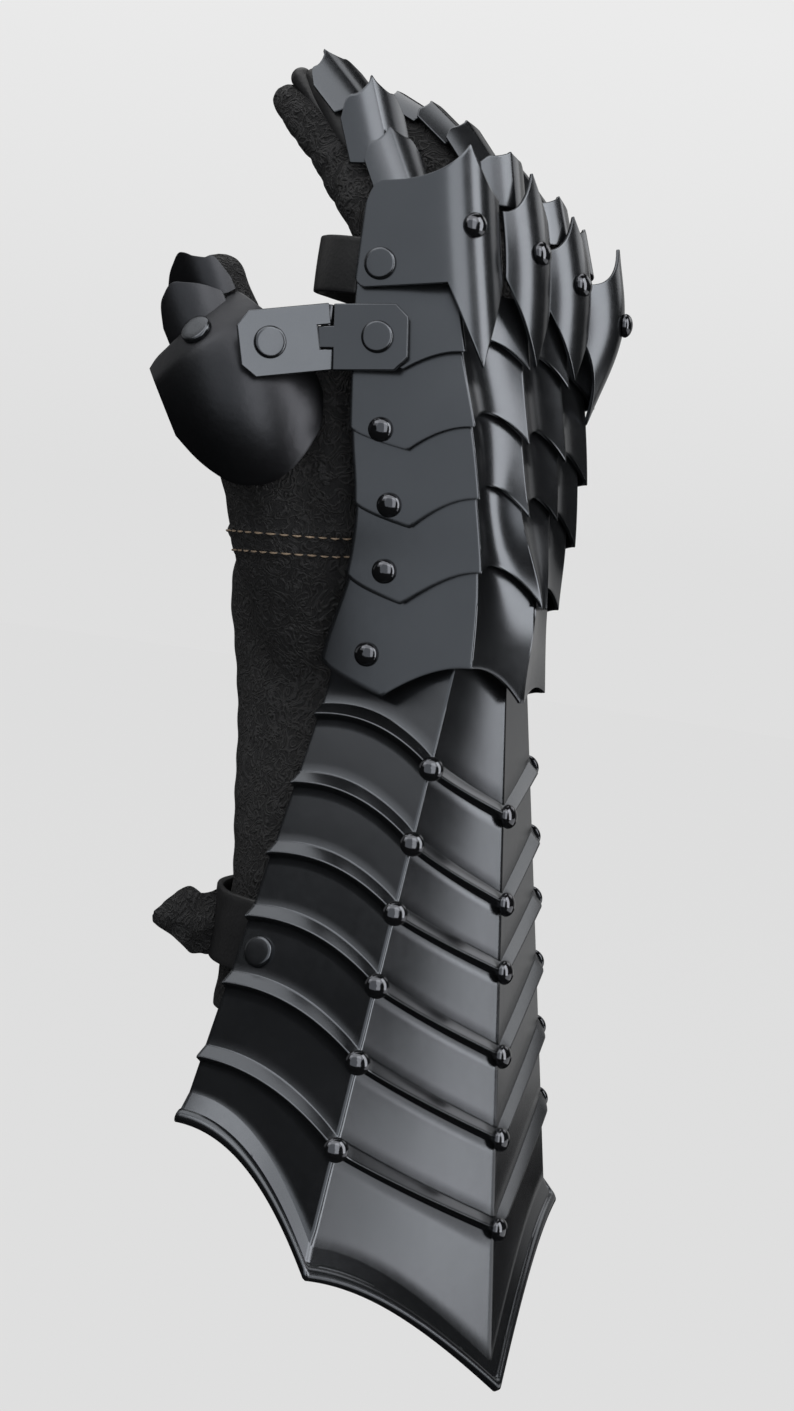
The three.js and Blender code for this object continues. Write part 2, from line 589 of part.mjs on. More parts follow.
for (const plate of thumbPlates) {
  const dish = { ...plate, across: thumbAcross, along: thumbAlong, out: thumbOut };
  addSteel(plate.name, dishSheet(dish, [0, 0.3, 0.6, 0.8, 1], plateThickness));
  if (plate.name === "thumb_plate") {
    const surface = (a, b) => dishPoint(dish, a, b, 0);
    addRivet("rivet_thumb_plate", flat, frameOn(surface, thumbRivet.a, thumbRivet.b, 1, 1));
  }
}

// ---- Thumb hinge ----
const hingeLame = lames[0];
const hingeHeight = 115;
const faceA = lamePoint(hingeLame, 0, hingeHeight, 0);
const faceB = lamePoint(hingeLame, 0.5, hingeHeight, 0);
const faceUp = unit(minus(lamePoint(hingeLame, 0.2, hingeHeight + 8, 0), lamePoint(hingeLame, 0.2, hingeHeight - 8, 0)));
const faceIn = unit(minus(faceB, faceA));
const faceOut = unit(cross(faceIn, faceUp));
const pinAt = plus(plus(faceA, faceOut, 2.4), faceIn, -leaf.overhang);
const leafUp = unit(cross(faceOut, faceIn));

// Leaf outline from the pin line outward, with a notch for the other leaf's knuckle.
function leafShape(lowKnuckle) {
  const { length, height, chamfer } = leaf;
  const half = height / 2;
  const step = 3.3;
  const inset = 2.9;
  const reach = -1.8;
  const points = lowKnuckle
    ? [[inset, half], [inset, step], [reach, step], [reach, -step], [inset, -step], [inset, -half]]
    : [[reach, half], [reach, step + 0.3], [inset, step + 0.3], [inset, -step - 0.3], [reach, -step - 0.3],
      [reach, -half]];
  points.push([length - chamfer, -half], [length, -half + chamfer], [length, half - chamfer],
    [length - chamfer, half]);
  return new THREE.Shape(points.map(([x, y]) => new THREE.Vector2(x, y)));
}

function hingeLeaf(direction, lowKnuckle) {
  const extruded = new THREE.ExtrudeGeometry(leafShape(lowKnuckle), { depth: leaf.thickness, bevelEnabled: false });
  extruded.deleteAttribute("normal");
  extruded.deleteAttribute("uv");
  const merged = mergeVertices(extruded, 1e-4);
  const out = unit(cross(direction, leafUp)).map((value) => value * (lowKnuckle ? 1 : -1));
  const up = unit(cross(out, direction));
  const place = (i) => {
    const p = merged.attributes.position;
    return plus(plus(plus(pinAt, direction, p.getX(i)), up, p.getY(i)), out, p.getZ(i) - leaf.thickness / 2);
  };
  const points = range(merged.attributes.position.count).map(place);
  const triangles = range(merged.index.count / 3).map((i) => [0, 1, 2].map((k) => merged.index.getX(i * 3 + k)));
  const geometry = geometryOf(points, triangles);
  const rivetPoint = plus(plus(pinAt, direction, leaf.length * 0.64), out, leaf.thickness / 2);
  return { geometry, rivet: { point: rivetPoint, normal: out } };
}

const tilt = THREE.MathUtils.degToRad(handLeafTilt);
const handLeaf = hingeLeaf(plus(faceIn.map((value) => value * Math.cos(tilt)), faceUp, Math.sin(tilt)), true);
const thumbLeaf = hingeLeaf(unit(thumbLeafDirection), false);
addSteel("hinge_hand_leaf", handLeaf.geometry);
addSteel("hinge_thumb_leaf", thumbLeaf.geometry);
addRivet("rivet_hinge_hand", flat, handLeaf.rivet);
addRivet("rivet_hinge_thumb", flat, thumbLeaf.rivet);

// ---- Glove ----
const gloveCorners = 16;
function bodyRing([z, y, halfX, halfY], inset) {
  return range(gloveCorners).map((i) => {
    const angle = (i / gloveCorners) * 2 * Math.PI;
    const round = (value) => Math.sign(value) * Math.abs(value) ** 0.8;
    return [round(Math.cos(angle)) * (halfX - inset), y + round(Math.sin(angle)) * (halfY - inset), z];
  });
}

function digitBody(rows, inset) {
  const centres = rows.map(([x, y, z]) => [x, y, z]);
  const rings = rows.map(([, , , radius], i) => {
    const forward = unit(minus(centres[Math.min(i + 1, rows.length - 1)], centres[Math.max(i - 1, 0)]));
    const side = unit(cross(forward, [0.3, -0.85, 0.43]));
    const up = cross(side, forward);
    return range(10).map((k) => {
      const angle = (k / 10) * 2 * Math.PI;
      const r = radius - inset;
      return plus(plus(centres[i], side, Math.cos(angle) * r), up, Math.sin(angle) * r);
    });
  });
  const last = rows.length - 1;
  const forward = unit(minus(centres[last], centres[last - 1]));
  const tip = rings[last].map((point) => plus(mixPoint(point, centres[last], 0.5), forward,
    (rows[last][3] - inset) * 0.6));
  return loft([...rings, tip]);
}

let gloveOuter = toSolid(loft(gloveBody.map((row) => bodyRing(row, 0))));
const below = [gloveBody[0][0] - 20, ...gloveBody[0].slice(1)];
const innerRows = [below, ...gloveBody];
let gloveInner = toSolid(loft(innerRows.map((row, i) => bodyRing(
  i === innerRows.length - 1 ? [row[0] - leatherThickness, ...row.slice(1)] : row,
  leatherThickness,
))));
for (const rows of Object.values(digits)) {
  gloveOuter = gloveOuter.add(toSolid(digitBody(rows, 0)));
  gloveInner = gloveInner.add(toSolid(digitBody(rows, leatherThickness)));
}
add("glove", fromSolid(gloveOuter.subtract(gloveInner)), suede, 0.95, 0);

// ---- Straps ----
function strapSheet(strap) {
  const path = [...strap.half, ...strap.half.slice(0, -1).reverse().map(([x, y]) => [-x, y])];
  const columns = range(path.length);
  const offset = (i, off) => {
    const before = path[Math.max(i - 1, 0)];
    const after = path[Math.min(i + 1, path.length - 1)];
    const along = unit(minus(after, before));
    return plus(path[i], [-along[1], along[0]], off);
  };
  return sheet(columns, [0, 1],
    (i, v) => [...offset(i, strap.thickness), mix(strap.low, strap.high, v)],
    (i, v) => [...offset(i, 0), mix(strap.low, strap.high, v)]);
}
add("strap_wrist", strapSheet(wristStrap), strapLeather, 0.6, 0);
add("strap_palm", strapSheet(palmStrap), strapLeather, 0.6, 0);

const tailMiddle = (wristStrap.low + wristStrap.high) / 2;
const tailOutline = [[0, 10], [0.3, 9.6], [0.6, 7], [0.85, 3.6], [1, 1]];
const tailSheet = sheet(tailOutline.map((row) => row[0]), [-1, 1],
  (t, v) => [...mixPoint(tail.root, tail.tip, t), tailMiddle - 2 * t + v * lookup(tailOutline, t)[0]],
  (t, v) => [...plus(mixPoint(tail.root, tail.tip, t), [1.6, 1.1]),
    tailMiddle - 2 * t + v * lookup(tailOutline, t)[0]]);
add("strap_tail", tailSheet, strapLeather, 0.6, 0);
addRivet("rivet_strap", flat, strapRivetPlace(strapRivetU, strapRivetZ));

export default group;
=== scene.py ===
"""Armoured gauntlet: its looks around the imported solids, in metres and in their frame.

+Z runs from the wrist to the fingers, -Y is the back of the hand, -X is the thumb side. Shapes are
worked out in millimetres and turned to metres when a mesh is made.
"""

import math
from collections import namedtuple

import bmesh
import bpy
import numpy as np
from mathutils import Matrix, Vector
from mathutils.bvhtree import BVHTree


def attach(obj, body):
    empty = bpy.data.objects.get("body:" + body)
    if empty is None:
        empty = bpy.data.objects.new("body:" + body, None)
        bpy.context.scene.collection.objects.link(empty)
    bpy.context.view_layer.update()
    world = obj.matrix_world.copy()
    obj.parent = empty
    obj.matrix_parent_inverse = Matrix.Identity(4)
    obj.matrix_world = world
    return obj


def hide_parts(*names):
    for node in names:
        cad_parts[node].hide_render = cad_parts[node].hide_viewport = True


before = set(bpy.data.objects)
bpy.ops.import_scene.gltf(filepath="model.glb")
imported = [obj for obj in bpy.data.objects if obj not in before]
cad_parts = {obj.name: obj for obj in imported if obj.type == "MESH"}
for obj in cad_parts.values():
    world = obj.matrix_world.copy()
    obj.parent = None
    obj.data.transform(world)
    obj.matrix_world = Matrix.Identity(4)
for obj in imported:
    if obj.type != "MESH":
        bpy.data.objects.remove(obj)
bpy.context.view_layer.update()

MM = 0.001
PLATE = 1.2

# ---- Camera: 58 degrees round from the back of the hand toward the thumb, 4 degrees above it ----
RIGHT = Vector((0.533, -0.833, 0.147)).normalized()
BACK = Vector((-0.846, -0.528, 0.073))
BACK = (BACK - BACK.dot(RIGHT) * RIGHT).normalized()
UP = BACK.cross(RIGHT)
DISTANCE = 800.0
SLIDE_RIGHT = -8.1
SLIDE_UP = 7.6
LENS = 64.3
SENSOR = 36.0

camera_data = bpy.data.cameras.new("camera")
camera_data.lens = LENS
camera_data.sensor_width = SENSOR
camera_data.clip_end = 20
camera = bpy.data.objects.new("camera", camera_data)
bpy.context.collection.objects.link(camera)
camera_at = (BACK * DISTANCE + RIGHT * SLIDE_RIGHT + UP * SLIDE_UP) * MM
camera_turn = Matrix((RIGHT, UP, BACK)).transposed().to_4x4()
camera.matrix_world = Matrix.Translation(camera_at) @ camera_turn
bpy.context.scene.camera = camera

# ---- Sizes ----
# These repeat the solids' own, so a change there is made here too. What departs from them, as finer
# form or for a closer fit: the cuff's thickness, hollow, ribs and hem, SCALLOP, the little finger's
# plate and scales, the index finger, the thumb's tip and web, the strap's tail and the palm strap.
CUFF_PLATE = 1.5
CUFF_TOP = 30.0
CUFF_INSET = 2.0
# The cuff's half width at the side ridge, its depth there and at the centre ridge, its half width and
# depth at the palm edge: value at the wrist, loss for each millimetre of z, and the z where that stops.
CUFF_SECTION = ((30.4, 0.282, 22), (24.7, 0.054, 22), (32.7, 0.148, 22), (33.25, 0.273, 10),
                (19.3, 0.045, 22))
# How far each of the cuff's four faces is hollowed, from the thumb side round to the outer side.
CUFF_HOLLOWS = (0.0, 0.95, 0.0, 0.0)
# How far a ridge's cut is from the ridge, as a share of a face.
CUFF_EASE = 0.009
LAME_EASE = 0.012
# A rib is a roof: its reach above and below its line, its rise and its bow on the side faces.
RIB_UPPER = 3.4
RIB_LOWER = 1.9
RIB_RISE = 3.0
RIB_ARCH = 4.8
RIB_SEAT = 0.4
# The hem's height at the palm edge, the side ridge and the centre ridge, its bow on the side and back
# faces, its flare and its rolled edge.
HEM = (-125.8, -157.2, -198.3)
HEM_ARCH = (9.0, 7.0)
HEM_HEIGHT = 9.0
HEM_FLARE = 1.7
ROLL_HEIGHT = 4.2
ROLL_RISE = 1.9
# Ribs, from the top down: height at the palm edge, at the side ridge and at the centre ridge.
RIBS = [
    (1.4, -8.3, -21.5),
    (-20.2, -30.9, -48.5),
    (-42.3, -51.6, -69.4),
    (-62.1, -73.0, -95.2),
    (-82.8, -95.3, -120.7),
    (-105.6, -120.4, -148.3),
]

# Edges of the back of the hand, from the thumb side to the little-finger side: z, x, y.
HAND = [
    [(0, -35, 18.5), (22, -36.5, 17.5), (49, -40, 10.7), (68, -44, 9), (90, -48, 12),
     (115, -52, 13), (145, -54, 14)],
    [(0, -25, -29), (22, -25.5, -29.4), (52, -27.5, -29.3), (74, -32, -27.5), (95, -36, -24.7),
     (116, -38, -19), (145, -40, -13)],
    [(0, -0.9, -33), (14, -0.9, -33.2), (44, -1.3, -36.4), (71, -12, -34), (93, -12, -30.1),
     (115, -12, -26.4), (145, -12, -23)],
    [(0, 0.9, -33), (14, 0.9, -33.2), (44, 1.3, -36.4), (71, 11, -31), (90, 12, -29.8), (112, 12, -27.1),
     (145, 13, -23)],
    [(0, 28.5, -25), (16, 28.5, -25.2), (43, 29, -25.3), (64, 32, -26), (84, 35, -25), (109, 37, -22.7),
     (145, 40, -17)],
    [(0, 36, 18.5), (15, 37, 18), (42, 41, 12), (60, 44, 9), (82, 47, 10), (105, 50, 11), (145, 53, 13)],
]
# How far each face between two edges sinks; the outer two bulge.
VALLEYS = (-0.6, 3.4, 2.6, 3.0, -0.6)
# A lame leans out by SHINGLE over each LAME_PITCH toward the wrist; its edge dips SCALLOP at a ridge.
SHINGLE = 2.8
LAME_PITCH = 22.0
SCALLOP = 6.4
# Lames: height where it has no lean, lower edge (at the thumb edge, lobe, four ridges, outer lobe and
# outer edge), and top.
LAMES = {
    "lame_1": (116, (116, 109.2, 116.9, 115.2, 112.5, 108.8, 99, 106), 136),
    "lame_2": (94, (90, 85.4, 95.2, 92.9, 89.7, 84.3, 75, 81), 124),
    "lame_3": (72, (68, 62.4, 74, 71, 71.3, 64.1, 53, 59), 106),
    "lame_4": (50, (46.5, 39.2, 52.1, 44.3, 44.3, 43.4, 31, 38), 84),
    "lame_5": (23, (19.5, 10.6, 23.3, 14, 14, 16.5, 4, 12), 62),
}
LOBE_AT = 0.44
# Rivets of the lames: share of the thumb side's width, and height. The outer ones sit lower by a drop.
LAME_RIVETS = {"lame_2": (0.25, 90.5), "lame_3": (0.28, 68.5), "lame_4": (0.28, 48.5), "lame_5": (0.3, 22.5)}
OUTER_RIVET_DROP = 9.0

# Knuckle plates: crest as rows of z, x and y, turn toward the thumb in degrees, half width, curl,
# height of the lower and upper corners and of the rivet.
Knuckle = namedtuple("Knuckle", "crest turn half curl low_corner high_corner rivet")
KNUCKLES = {
    "knuckle_index": Knuckle([(112.6, -38, -25.6), (153.8, -39, -15.8), (177.7, -40, -10.8)],
                             30, 12.5, 0.04, 140, 164, 154),
    "knuckle_middle": Knuckle([(116.3, -12, -28.5), (150.6, -12, -23.9), (174.9, -12, -16.8)],
                              5, 12.4, 0.03, 141, 161, 150.6),
    "knuckle_ring": Knuckle([(115.4, 13, -28.4), (145.4, 14, -25), (166.6, 14, -18.6)],
                            5, 12.2, 0.03, 136, 154, 145.2),
    "knuckle_little": Knuckle([(103, 34, -23.3), (136.8, 41, -27.4), (161.3, 43, -20.6)],
                              -20, 15, 0.05, 131, 147, 136.7),
}
# The index plate's side flap: its edge, lower and upper heights, the bend's curl, the lower corner's
# rise, and its rivet's place.
FLAP = {"x": -54.0, "y": 14.0, "low": 131.0, "high": 163.6, "curl": 0.031, "slope": 5.0}
FLAP_RIVET = (-0.823, 139)

# Fingers: x, turn toward the thumb in degrees, and how deep the scales' shoulders fall.
FINGERS = {
    "index": (-43, 31, 1),
    "middle": (-13.5, 12, 0.5),
    "ring": (13.5, 5, 0.8),
    "little": (36.5, -12, 0.8),
}
# Scales: apex y and z, pitch in degrees, length, half width.
SCALES = {
    "scale_index_1": (17, 181.7, 31, 21, 10),
    "scale_index_2": (26, 196.5, 24, 28.5, 11.2),
    "scale_index_3": (45, 203.8, 49, 24, 9.3),
    "scale_middle_1": (-8.9, 180.8, 15, 18, 10),
    "scale_middle_2": (8.8, 189.8, 44, 21, 9.5),
    "scale_middle_3": (22.8, 195.2, 55, 20, 8.4),
    "scale_middle_4": (36, 197.8, 66, 17, 8),
    "scale_ring_1": (-12.5, 172.5, 21, 17, 11.4),
    "scale_ring_2": (4.5, 181.5, 46, 23, 11),
    "scale_ring_3": (19, 186.5, 60, 18, 10.4),
    "scale_little_1": (-10.5, 166, 21, 16, 10.6),
    "scale_little_2": (2.5, 173.5, 46, 21, 10),
    "scale_little_3": (15, 177.5, 60, 15.5, 9.4),
}
# A scale's section falls by ROOF of the way across and CURL of its square; TRIM shortens its sides.
SCALE_ROOF = 0.12
SCALE_CURL = 0.03
SCALE_TRIM = 0.08
# The upper edge: share of the half width, and share of the length that it falls there.
SCALE_EDGE = [(0, 0), (0.1, 0.07), (0.2, 0.11), (0.5, 0.185), (0.74, 0.2), (1, 0.42)]

# The thumb plates' axes: across, along and out.
THUMB_AXES = tuple(np.array(way) for way in
                   ((0.489, -0.714, 0.501), (-0.213, 0.461, 0.863), (-0.846, -0.528, 0.073)))
# Thumb plates: centre, curl, bow, fold as (b at a=0, slope, bend), and the outline as a, low b, high b.
THUMB_PLATES = {
    "thumb_plate": ((-73.5, 37.8, 97), 0.022, 0.01, (16.3, 0.18, 0.5),
                    [(-22.5, -6, 16.5), (-20, -13, 18.1), (-14.7, -22.5, 20), (-5, -29.3, 23.4),
                     (5.4, -29, 27), (10.7, -26.5, 28.9), (15.3, -23.3, 21.5), (20.7, -17.8, 9),
                     (24, -10, -5)]),
    "thumb_plate_middle": ((-71.6, 55.2, 114.8), 0.035, 0.006, None,
                           [(-11.5, -4, 3), (-10, -8, 8.5), (-7, -10, 12.6), (-4, -11, 14.4), (0, -9, 12.9),
                            (5, -4, 10.3), (9.5, 1, 6.9)]),
    "thumb_plate_tip": ((-65.8, 55.6, 125.8), 0.055, 0.006, None,
                        [(-13.8, 4, 7.5), (-12, 3, 10.5), (-9.6, 2, 12.9), (-6.6, 1, 14.9), (-3.1, -1, 12.1),
                         (0, -2, 10.2), (3.3, -2.5, 8.7), (5.4, -2, 1.5)]),
}
THUMB_RIVET = (-4.7, 20.6)

# Glove body: z, centre y, half width, half depth.
GLOVE = [
    (-97, 14, 37.5, 38.5), (-56, 14, 36, 38.5), (-25, 17.5, 31, 42), (0, 21, 26.2, 45), (20, 24, 24.2, 47),
    (34, 26, 26.4, 48), (50, 25, 32, 46), (68, 21, 35, 40), (90, 13, 39.5, 31), (115, 10.5, 42.5, 24),
    (140, 11, 44.5, 18.5), (152, 11, 44.5, 16), (158, 11, 41, 11),
]
# Digits, from the index finger to the little one, then the thumb and its web: x, y, z, radius.
DIGITS = [
    [(-36, 10, 146, 12.5), (-42, 25, 161, 8.6), (-42.5, 37.6, 173.5, 7.4), (-43, 49.6, 183.8, 7),
     (-43, 54.4, 187, 6)],
    [(-13, 5, 150, 12), (-13.3, 11, 169, 9.2), (-13.5, 22, 179, 8.6), (-13.5, 34, 182.5, 8.2),
     (-13.5, 45, 179, 7.6), (-13.5, 50, 174, 6.2)],
    [(13, 5, 146, 12), (13.3, 9, 161, 9.2), (13.5, 19, 171, 8.6), (13.5, 31, 173.5, 8.2),
     (13.5, 41, 169, 7.6), (13.5, 45, 163, 6.2)],
    [(34, 5, 142, 11), (41, 8, 155, 8.6), (42, 17, 162.5, 8), (42, 28, 164, 7.4), (42, 36, 159, 6)],
    [(-4, 30, 8, 17), (-19, 36, 40, 19.5), (-32, 40, 62, 19.5), (-44, 43.5, 80, 16.5),
     (-53.5, 50.6, 99, 13.6), (-55.2, 57.2, 114, 12), (-56.6, 60.5, 124, 10), (-57, 61.5, 129, 8.6)],
    [(-22, 24, 62, 17), (-34, 29, 90, 13.5), (-38, 31, 106, 11)],
]
SUEDE = 1.8
SUEDE_VOXEL = 1.7
# The sleeve's folded top: its height and slope, how far it stands proud, and how far below it its two
# grooves are sewn. Stitches: how long a run of thread is, how long a gap, how thick and how proud.
FOLD_Z = 59.0
FOLD_SLOPE = 0.15
FOLD_STEP = 1.4
STITCH_DROPS = (3.6, 9.2)
STITCH_LENGTH = 2.7
STITCH_GAP = 0.7
STITCH_R = 0.33
STITCH_RISE = 0.34

# Leather backing of the index finger: x, y, z, radius.
BACKING = [
    [(-45, 30, 172, 1.6), (-45, 38.2, 181, 2.1), (-44.6, 46, 189.2, 2.5), (-44, 51, 194.2, 3.3)],
    [(-43, 28, 172, 3.5), (-43.5, 35, 181.5, 4), (-43.5, 42, 190, 4), (-43.5, 46.5, 194.5, 3)],
]

# Straps: lower and upper height, and half the path round the palm as x and y.
WRIST_STRAP = ((-81, -58),
               [(-40.5, 4), (-42.2, 15), (-42.5, 25), (-39, 34.5), (-31, 43.2), (-18, 51.5), (0, 55.2)])
PALM_STRAP = ((129.5, 146.5),
              [(-46.8, 15.2), (-46.8, 20), (-45.5, 26.5), (-40, 33.2), (-28, 36.4), (-14, 37.2), (0, 37.7)])
STRAP = 2.0
# Strap rivets: position across the cuff, thumb side and outer side, and their height.
STRAP_RIVETS = (0.15, 3.85)
STRAP_RIVET_Z = -72.0
# The strap's tail: its root and tip as x and y, and its edges as share of its length, depth below
# its middle and height above it.
TAIL = ((-34.2, 45), (-44.2, 60.6))
TAIL_EDGE = [(0, 10, 9.5), (0.3, 10.5, 8.5), (0.55, 6, 9.5), (0.8, 2.5, 6), (1, 0.5, 2)]
TAIL_SHEET = 1.8


# ---- Arithmetic on arrays ----
def smooth_lookup(table, key):
    """Values of a table at key: between rows i and i+1 the cubic whose ends are the rows and whose
    end slopes are the slopes between each row's neighbours."""
    rows = np.asarray(table, float)
    knots, values = rows[:, 0], rows[:, 1:]
    slopes = np.gradient(values, knots, axis=0) if len(knots) > 2 else np.repeat(
        (values[1:] - values[:-1]) / (knots[1] - knots[0]), 2, axis=0
    )
    key = np.asarray(key, float)
    i = np.clip(np.searchsorted(knots, key, side="right") - 1, 0, len(knots) - 2)
    width = knots[i + 1] - knots[i]
    t = np.clip((key - knots[i]) / width, 0, 1)[..., None]
    width = width[..., None]
    return (
        (1 + 2 * t) * (1 - t) ** 2 * values[i]
        + t * (1 - t) ** 2 * width * slopes[i]
        + t**2 * (3 - 2 * t) * values[i + 1]
        - t**2 * (1 - t) * width * slopes[i + 1]
    )


def unit(vectors):
    """Vectors divided by their lengths."""
    vectors = np.asarray(vectors, float)
    return vectors / np.linalg.norm(vectors, axis=-1, keepdims=True)


def smoothstep(low, high, value):
    """0 below low, 1 above high, and 3t^2 - 2t^3 between."""
    t = np.clip((value - low) / (high - low), 0, 1)
    return t * t * (3 - 2 * t)


def ridged(edges, depths, u, off):
    """Section through a ridged plate: straight from edge i to edge i+1, sunk by
    depth_i * sin(pi * t^0.85), and moved off the plate by off, mitred at the edges."""
    along = unit(np.diff(edges, axis=1))
    normal = np.stack([along[..., 1], -along[..., 0]], -1)
    before = np.concatenate([normal[:, :1], normal], 1)
    after = np.concatenate([normal, normal[:, -1:]], 1)
    lift = (before + after) / (1 + np.sum(before * after, -1, keepdims=True))
    i = np.clip(np.floor(u).astype(int), 0, edges.shape[1] - 2)
    t = (u - i)[:, None]
    rows = np.arange(len(u))
    base = edges[rows, i] * (1 - t) + edges[rows, i + 1] * t
    lifted = lift[rows, i] * (1 - t) + lift[rows, i + 1] * t
    sink = -depths[rows, i] * np.sin(np.pi * t[:, 0] ** 0.85)
    return base + lifted * np.reshape(off, (-1, 1)) + normal[rows, i] * sink[:, None]


def columns(spans):
    """Column positions: each span from a to b cut into n equal steps."""
    parts = [np.linspace(a, b, n, endpoint=False) for a, b, n in spans]
    return np.concatenate(parts + [[spans[-1][1]]])


def eased(positions, ridges, width):
    """Column positions with each ridge cut off: a column this width to each side stands for the one on
    it, and one more beyond each keeps the faces flat up to the cut."""
    near = np.min(np.abs(positions[:, None] - np.array(ridges)), axis=1)
    added = [ridge + side * away for ridge in ridges for side in (-1, 1) for away in (width, 2.4 * width)]
    return np.sort(np.concatenate([positions[near > 2.4 * width], added]))


def surface_frame(surface, u, v, step_u, step_v):
    """Point and outward normal of a surface, from differences across one step each way."""
    us = np.array([u, u + step_u, u - step_u, u, u], float)
    vs = np.array([v, v, v, v + step_v, v - step_v], float)
    p = surface(us, vs)
    return p[0], unit(np.cross(p[1] - p[2], p[3] - p[4]))


# ---- Meshes ----
def object_from(name, points, faces, smooth_angle=32):
    """A mesh object at the origin from points in millimetres."""
    mesh = bpy.data.meshes.new(name)
    mesh.from_pydata((np.asarray(points, float) * MM).tolist(), [], [list(map(int, f)) for f in faces])
    mesh.validate()
    mesh.shade_smooth()
    if smooth_angle:
        mesh.set_sharp_from_angle(angle=math.radians(smooth_angle))
    piece = bpy.data.objects.new(name, mesh)
    bpy.context.collection.objects.link(piece)
    return piece


def grid_faces(rows, cols, close=False):
    """Quads of a grid stored row by row; close joins the last column to the first."""
    i, j = np.meshgrid(np.arange(rows - 1), np.arange(cols if close else cols - 1), indexing="ij")
    nxt = (j + 1) % cols
    quads = np.stack([i * cols + j, (i + 1) * cols + j, (i + 1) * cols + nxt, i * cols + nxt], -1)
    return quads.reshape(-1, 4)


def finish_piece(piece, material, replaced=()):
    """Gives a piece its material, hangs it from the root body and hides the solids that it replaces."""
    piece.data.materials.append(material)
    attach(piece, "root")
    if replaced:
        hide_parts(*replaced)
    return piece


def sheet(name, points, thickness, bevel=0.42, smooth_angle=32, bevel_over=26):
    """A plate from a grid of outer points (columns by rows): Solidify gives it its thickness inward
    and Bevel breaks its edges and any ridge sharper than bevel_over degrees."""
    cols, rows = points.shape[:2]
    piece = object_from(name, points.reshape(-1, 3), grid_faces(cols, rows), smooth_angle)
    wall = piece.modifiers.new("wall", "SOLIDIFY")
    wall.thickness = thickness * MM
    wall.offset = -1
    wall.use_even_offset = False
    edge = piece.modifiers.new("edge", "BEVEL")
    edge.width = bevel * MM
    edge.segments = 2
    edge.limit_method = "ANGLE"
    edge.angle_limit = math.radians(bevel_over)
    return piece


def turned_profile(profile, point, normal, steps=36):
    """A profile of radius and height spun about the normal through a point, closed at the bottom and
    the top by fans to one point each."""
    side = unit(np.cross(normal, (0.3, 0.2, 0.93)))
    other = np.cross(normal, side)
    angle = np.linspace(0, 2 * np.pi, steps, endpoint=False)
    r, h = np.asarray(profile[1:-1], float).T
    ring = np.cos(angle)[:, None] * side + np.sin(angle)[:, None] * other
    body = (point + r[:, None, None] * ring[None] + h[:, None, None] * np.asarray(normal)).reshape(-1, 3)
    poles = [point + profile[i][1] * np.asarray(normal) for i in (0, -1)]
    j = np.arange(steps)
    after, top, last = (j + 1) % steps, len(body) + 1, len(body) - steps
    faces = grid_faces(len(r), steps, close=True).tolist()
    faces += np.stack([np.full(steps, len(body)), after, j], -1).tolist()
    faces += np.stack([np.full(steps, top), last + j, last + after], -1).tolist()
    return np.concatenate([body, poles]), faces


def joined(parts):
    """Points and faces of several shapes as one."""
    points, faces, start = [], [], 0
    for p, f in parts:
        points.append(p)
        faces.extend([[i + start for i in face] for face in f])
        start += len(p)
    return np.concatenate(points), faces


# ---- Materials ----
def colour(hex_code):
    """sRGB hex to linear, with alpha."""
    values = [int(hex_code[i : i + 2], 16) / 255 for i in (1, 3, 5)]
    return [v / 12.92 if v <= 0.04045 else ((v + 0.055) / 1.055) ** 2.4 for v in values] + [1.0]


def node(tree, kind, links=(), **settings):
    """Adds a node: settings name its properties or, as in_NAME or in_NUMBER, its inputs; links are
    pairs of an input and the socket that feeds it."""
    made = tree.nodes.new(kind)
    for key, value in settings.items():
        if key.startswith("in_"):
            name = key[3:]
            made.inputs[int(name) if name.isdigit() else name.replace("_", " ")].default_value = value
        else:
            setattr(made, key, value)
    for target, source in links:
        tree.links.new(source, made.inputs[target])
    return made


def ramp(tree, source, stops):
    """A colour ramp through stops of position and value or colour."""
    made = node(tree, "ShaderNodeValToRGB", links=[(0, source)])
    band = made.color_ramp
    while len(band.elements) < len(stops):
        band.elements.new(0.5)
    for element, (place, value) in zip(band.elements, stops):
        element.position = place
        element.color = colour(value) if isinstance(value, str) else (value, value, value, 1)
    return made.outputs[0]


def shader(name, **settings):
    """A material with a Principled shader; settings go to its sockets."""
    material = bpy.data.materials.new(name)
    material.use_nodes = True
    tree = material.node_tree
    principled = tree.nodes["Principled BSDF"]
    for key, value in settings.items():
        principled.inputs[key.replace("_", " ")].default_value = value
    coords = node(tree, "ShaderNodeTexCoord").outputs["Object"]
    return material, tree, principled, coords


def per_mm(size):
    """Texture scale, in metres, for a feature of this many millimetres."""
    return 1.0 / (size * MM)


def noise(tree, coords, size, detail=4.0, rough=0.55, distortion=0.0):
    """Noise with features of this many millimetres."""
    made = node(tree, "ShaderNodeTexNoise", links=[("Vector", coords)], in_Scale=per_mm(size),
                in_Detail=detail, in_Roughness=rough, in_Distortion=distortion)
    return made.outputs["Fac"]


def mixed(tree, factor, a, b):
    """Colour mixed from a to b; either may be a hex code or a socket."""
    made = node(tree, "ShaderNodeMix", data_type="RGBA")
    tree.links.new(factor, made.inputs[0])
    for index, value in ((6, a), (7, b)):
        if isinstance(value, str):
            made.inputs[index].default_value = colour(value)
        else:
            tree.links.new(value, made.inputs[index])
    return made.outputs[2]


def maths(tree, operation, a, b):
    """Arithmetic on two sockets or numbers."""
    made = node(tree, "ShaderNodeMath", operation=operation)
    for index, value in enumerate((a, b)):
        if isinstance(value, (int, float)):
            made.inputs[index].default_value = value
        else:
            tree.links.new(value, made.inputs[index])
    return made.outputs[0]


